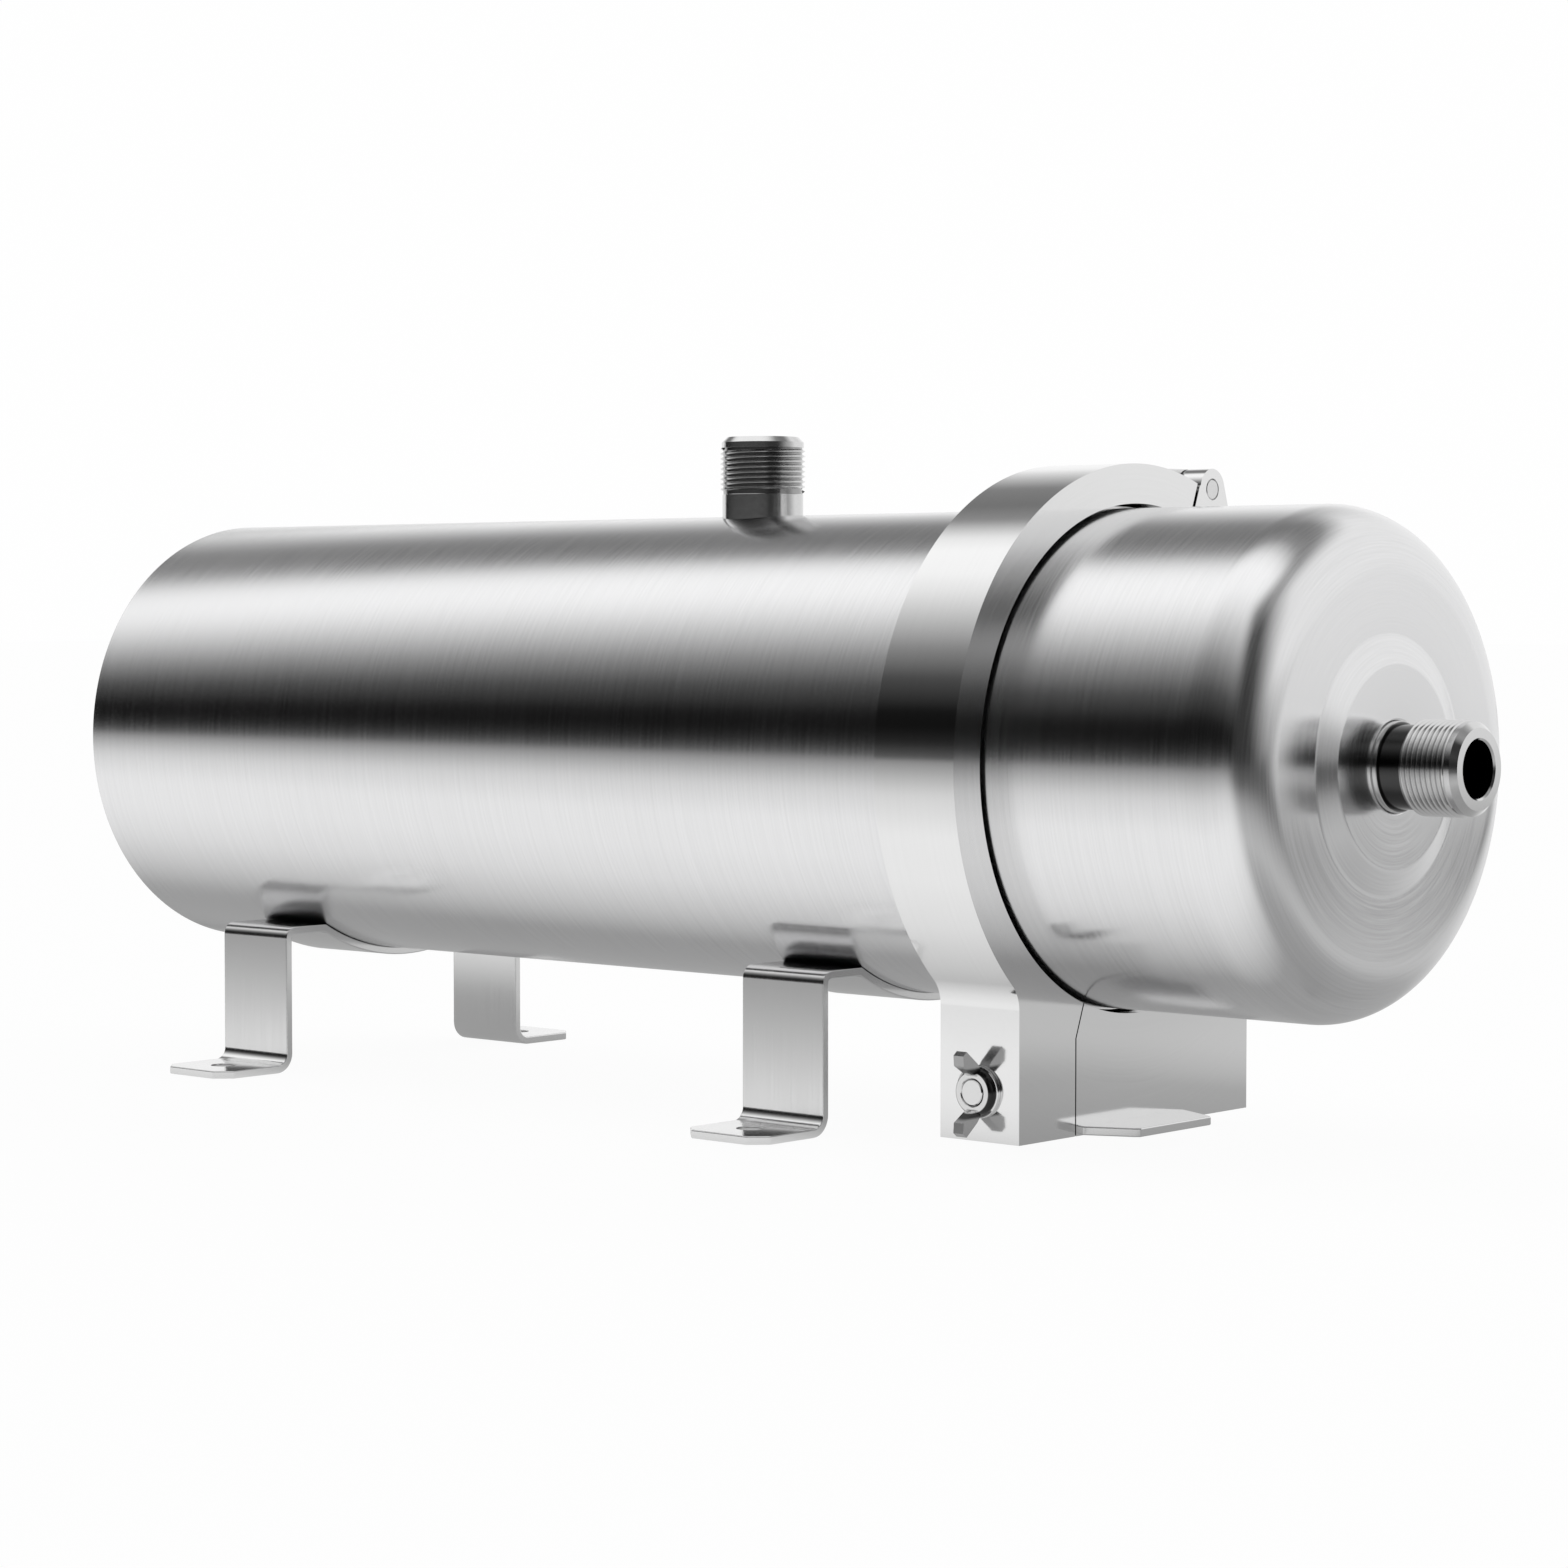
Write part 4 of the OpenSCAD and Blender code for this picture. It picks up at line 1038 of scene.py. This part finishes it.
class PURIFIER_OT_studio(bpy.types.Operator):
    """Pale floor, plain soft light and the camera"""
    bl_idname = "purifier.studio"
    bl_label = "Studio"

    def execute(self, context):
        self.camera(context.scene)
        self.floor()
        self.world(context.scene)
        return {"FINISHED"}

    def camera(self, scene):
        """Camera at the photograph's angle."""
        heading, dip = 0.723, 0.045
        lens = bpy.data.cameras.new("studio camera")
        lens.sensor_width = SENSOR_MM
        lens.lens = SENSOR_MM * LENS_PIXELS / PHOTO_PIXELS
        camera = bpy.data.objects.new("studio camera", lens)
        camera.location = (0.6781, -0.7055, 0.1208)
        camera.rotation_euler = Euler((pi / 2 - dip, 0, heading))
        scene.collection.objects.link(camera)
        scene.camera = camera

    def floor(self):
        """Pale floor, white to the camera, with painted light and shade where the metal sees it, and the
        object's own shadow kept.
        """
        bm = bmesh.new()
        bmesh.ops.create_grid(bm, x_segments=1, y_segments=1, size=12)
        bmesh.ops.translate(bm, verts=bm.verts[:], vec=(0, 0, FLOOR_Z - 0.0002))
        material, tree, shader = blank("pale floor")
        shader.inputs["Base Color"].default_value = (*colours().floor, 1)
        shader.inputs["Roughness"].default_value = 0.9
        shader.inputs["Specular IOR Level"].default_value = 0.1
        tone = self.painted_floor_light_and_shade(tree)
        path = node(tree, "ShaderNodeLightPath", (-900, 500))
        shown = blend(tree, path.outputs["Is Camera Ray"], tone, 1.02, (-300, -200))
        glow = node(tree, "ShaderNodeEmission", (0, -300))
        tree.links.new(shown, glow.inputs["Color"])
        seen = math_node(tree, "MAXIMUM", path.outputs["Is Glossy Ray"],
                         path.outputs["Is Transmission Ray"], (-600, 450))
        mirrored = math_node(tree, "MULTIPLY", seen, 0.9, (-300, 400))
        direct = math_node(tree, "MULTIPLY", path.outputs["Is Camera Ray"], 0.93, (-300, 550))
        mix = node(tree, "ShaderNodeMixShader", (600, 0))
        tree.links.new(math_node(tree, "ADD", direct, mirrored, (-100, 450)), mix.inputs[0])
        tree.links.new(shader.outputs[0], mix.inputs[1])
        tree.links.new(glow.outputs[0], mix.inputs[2])
        tree.links.new(mix.outputs[0], tree.nodes["Material Output"].inputs[0])
        ground = as_object(bm, "floor")
        ground.data.materials.append(material)

    def painted_floor_light_and_shade(self, tree):
        """Painted light and shade of the floor in the metal: along the barrel's side, and in front of the
        cap.
        """
        place = node(tree, "ShaderNodeNewGeometry", (-2000, 0)).outputs["Position"]
        front = tone_by_turn(tree, counted_from(tree, place, AXIS, (-1800, 0)), FLOOR_TONES, (-1600, 0))
        from_cap = counted_from(tree, place, (CAP_FACE_X, 0, FLOOR_Z), (-1800, -500))
        reach = node(tree, "ShaderNodeVectorMath", (-1600, -700), operation="LENGTH")
        tree.links.new(from_cap, reach.inputs[0])
        share = math_node(tree, "DIVIDE", reach.outputs["Value"], FLOOR_REACH, (-1400, -700))
        lit, dark = [ramp_of(tree, share, [(r / FLOOR_REACH, level) for r, level in stops], at)
                     for stops, at in ((LIT_FLOOR_TONES, (-1200, -700)), (DARK_FLOOR_TONES, (-1200, -950)))]
        turned = azimuth_share(tree, split_xyz(tree, from_cap, (-1600, -1200)), (-1400, -1200))
        lighting = heading_ramp(tree, turned, CAP_FLOOR_TURN, (-1200, -1200))
        side = blend(tree, lighting, dark, lit, (-900, -800))
        span = heading_ramp(tree, turned, CAP_FLOOR_SPAN, (-1200, -1450))
        return blend(tree, span, front, side, (-600, -200))

    def world(self, scene):
        """White to the camera; to the metal a soft box, and a fill card beyond the cap."""
        world = bpy.data.worlds.new("studio")
        scene.world = world
        world.use_nodes = True
        tree = world.node_tree
        toward = node(tree, "ShaderNodeTexCoord", (-2000, 0)).outputs["Generated"]
        round_axis = tone_by_turn(tree, toward, ROOM_TONES, (-1700, 0))
        parts = split_xyz(tree, toward, (-2000, -700))
        turned = azimuth_share(tree, parts, (-1800, -700))
        rise = math_node(tree, "ARCSINE", parts[2], None, (-1800, -900))
        card = self.card_tone(tree, turned, rise)
        top = remap(tree, rise, CARD_TOP, (0.0, 1.0), (-600, -800))
        tone = blend(tree, top, card, OVER_CARD_LEVEL, (-420, -800))
        room_share = remap(tree, rise, ROOM_START, (0.0, 1.0), (-600, -1100))
        tone = blend(tree, room_share, tone, round_axis, (-240, -800))
        span = heading_ramp(tree, turned, CARD_SPAN, (-900, 300))
        room = blend(tree, span, round_axis, tone, (0, -200))
        straight = node(tree, "ShaderNodeLightPath", (0, 300)).outputs["Is Camera Ray"]
        light = tree.nodes["Background"].inputs
        tree.links.new(blend(tree, straight, room, 0.995, (200, 0)), light["Color"])
        light["Strength"].default_value = 1.0

    def card_tone(self, tree, turned, rise):
        """Level of the fill card, whose foot leans away as it comes down, and of the gap beside it."""
        low = math_node(tree, "MINIMUM", rise, radians(12), (-1650, -600))
        over = math_node(tree, "SUBTRACT", math_node(tree, "MINIMUM", rise, radians(32), (-1650, -800)),
                         radians(12), (-1500, -800))
        high = math_node(tree, "MAXIMUM", over, 0.0, (-1350, -800))
        lean = math_node(tree, "ADD", math_node(tree, "MULTIPLY", low, 3.0, (-1500, -600)), high,
                         (-1200, -700))
        lean_share = math_node(tree, "DIVIDE", lean, 2 * pi, (-1050, -700))
        leaned = math_node(tree, "ADD", turned, lean_share, (-900, -700))
        edge = heading_ramp(tree, turned, CARD_EDGE, (-1200, -300))
        foot = heading_ramp(tree, leaned, CARD_FOOT, (-750, -500))
        lit = math_node(tree, "MULTIPLY", edge, foot, (-600, -400))
        return math_node(tree, "MAXIMUM", lit, GAP_LEVEL, (-450, -400))


class PURIFIER_PT_panel(bpy.types.Panel):
    """Builders, sizes and colours of the purifier"""
    bl_idname = "PURIFIER_PT_panel"
    bl_label = "Water purifier"
    bl_space_type = "VIEW_3D"
    bl_region_type = "UI"
    bl_category = "Purifier"

    def draw(self, context):
        layout = self.layout
        for builder in BUILDERS:
            layout.operator(builder.bl_idname)
        for group in (context.scene.purifier_sizes, context.scene.purifier_colours):
            for name in group.bl_rna.properties.keys():
                if name not in ("rna_type", "name"):
                    layout.prop(group, name)


BUILDERS = (PURIFIER_OT_studio, PURIFIER_OT_barrel, PURIFIER_OT_cap, PURIFIER_OT_nipples,
            PURIFIER_OT_brackets, PURIFIER_OT_clamp, PURIFIER_OT_wing_nut, PURIFIER_OT_inner_parts)
CLASSES = (PurifierSizes, PurifierColours) + BUILDERS + (PURIFIER_PT_panel,)


def register():
    for cls in CLASSES:
        bpy.utils.register_class(cls)
    bpy.types.Scene.purifier_sizes = bpy.props.PointerProperty(type=PurifierSizes)
    bpy.types.Scene.purifier_colours = bpy.props.PointerProperty(type=PurifierColours)


def unregister():
    del bpy.types.Scene.purifier_colours
    del bpy.types.Scene.purifier_sizes
    for cls in reversed(CLASSES):
        bpy.utils.unregister_class(cls)


def main():
    register()
    bpy.context.scene.view_settings.view_transform = "Standard"
    bpy.ops.purifier.studio()
    bpy.ops.purifier.barrel()
    bpy.ops.purifier.cap()
    bpy.ops.purifier.nipples()
    bpy.ops.purifier.brackets()
    bpy.ops.purifier.clamp()
    bpy.ops.purifier.wing_nut()
    bpy.ops.purifier.inner_parts()
    bpy.context.view_layer.update()


if __name__ == "__main__":
    main()
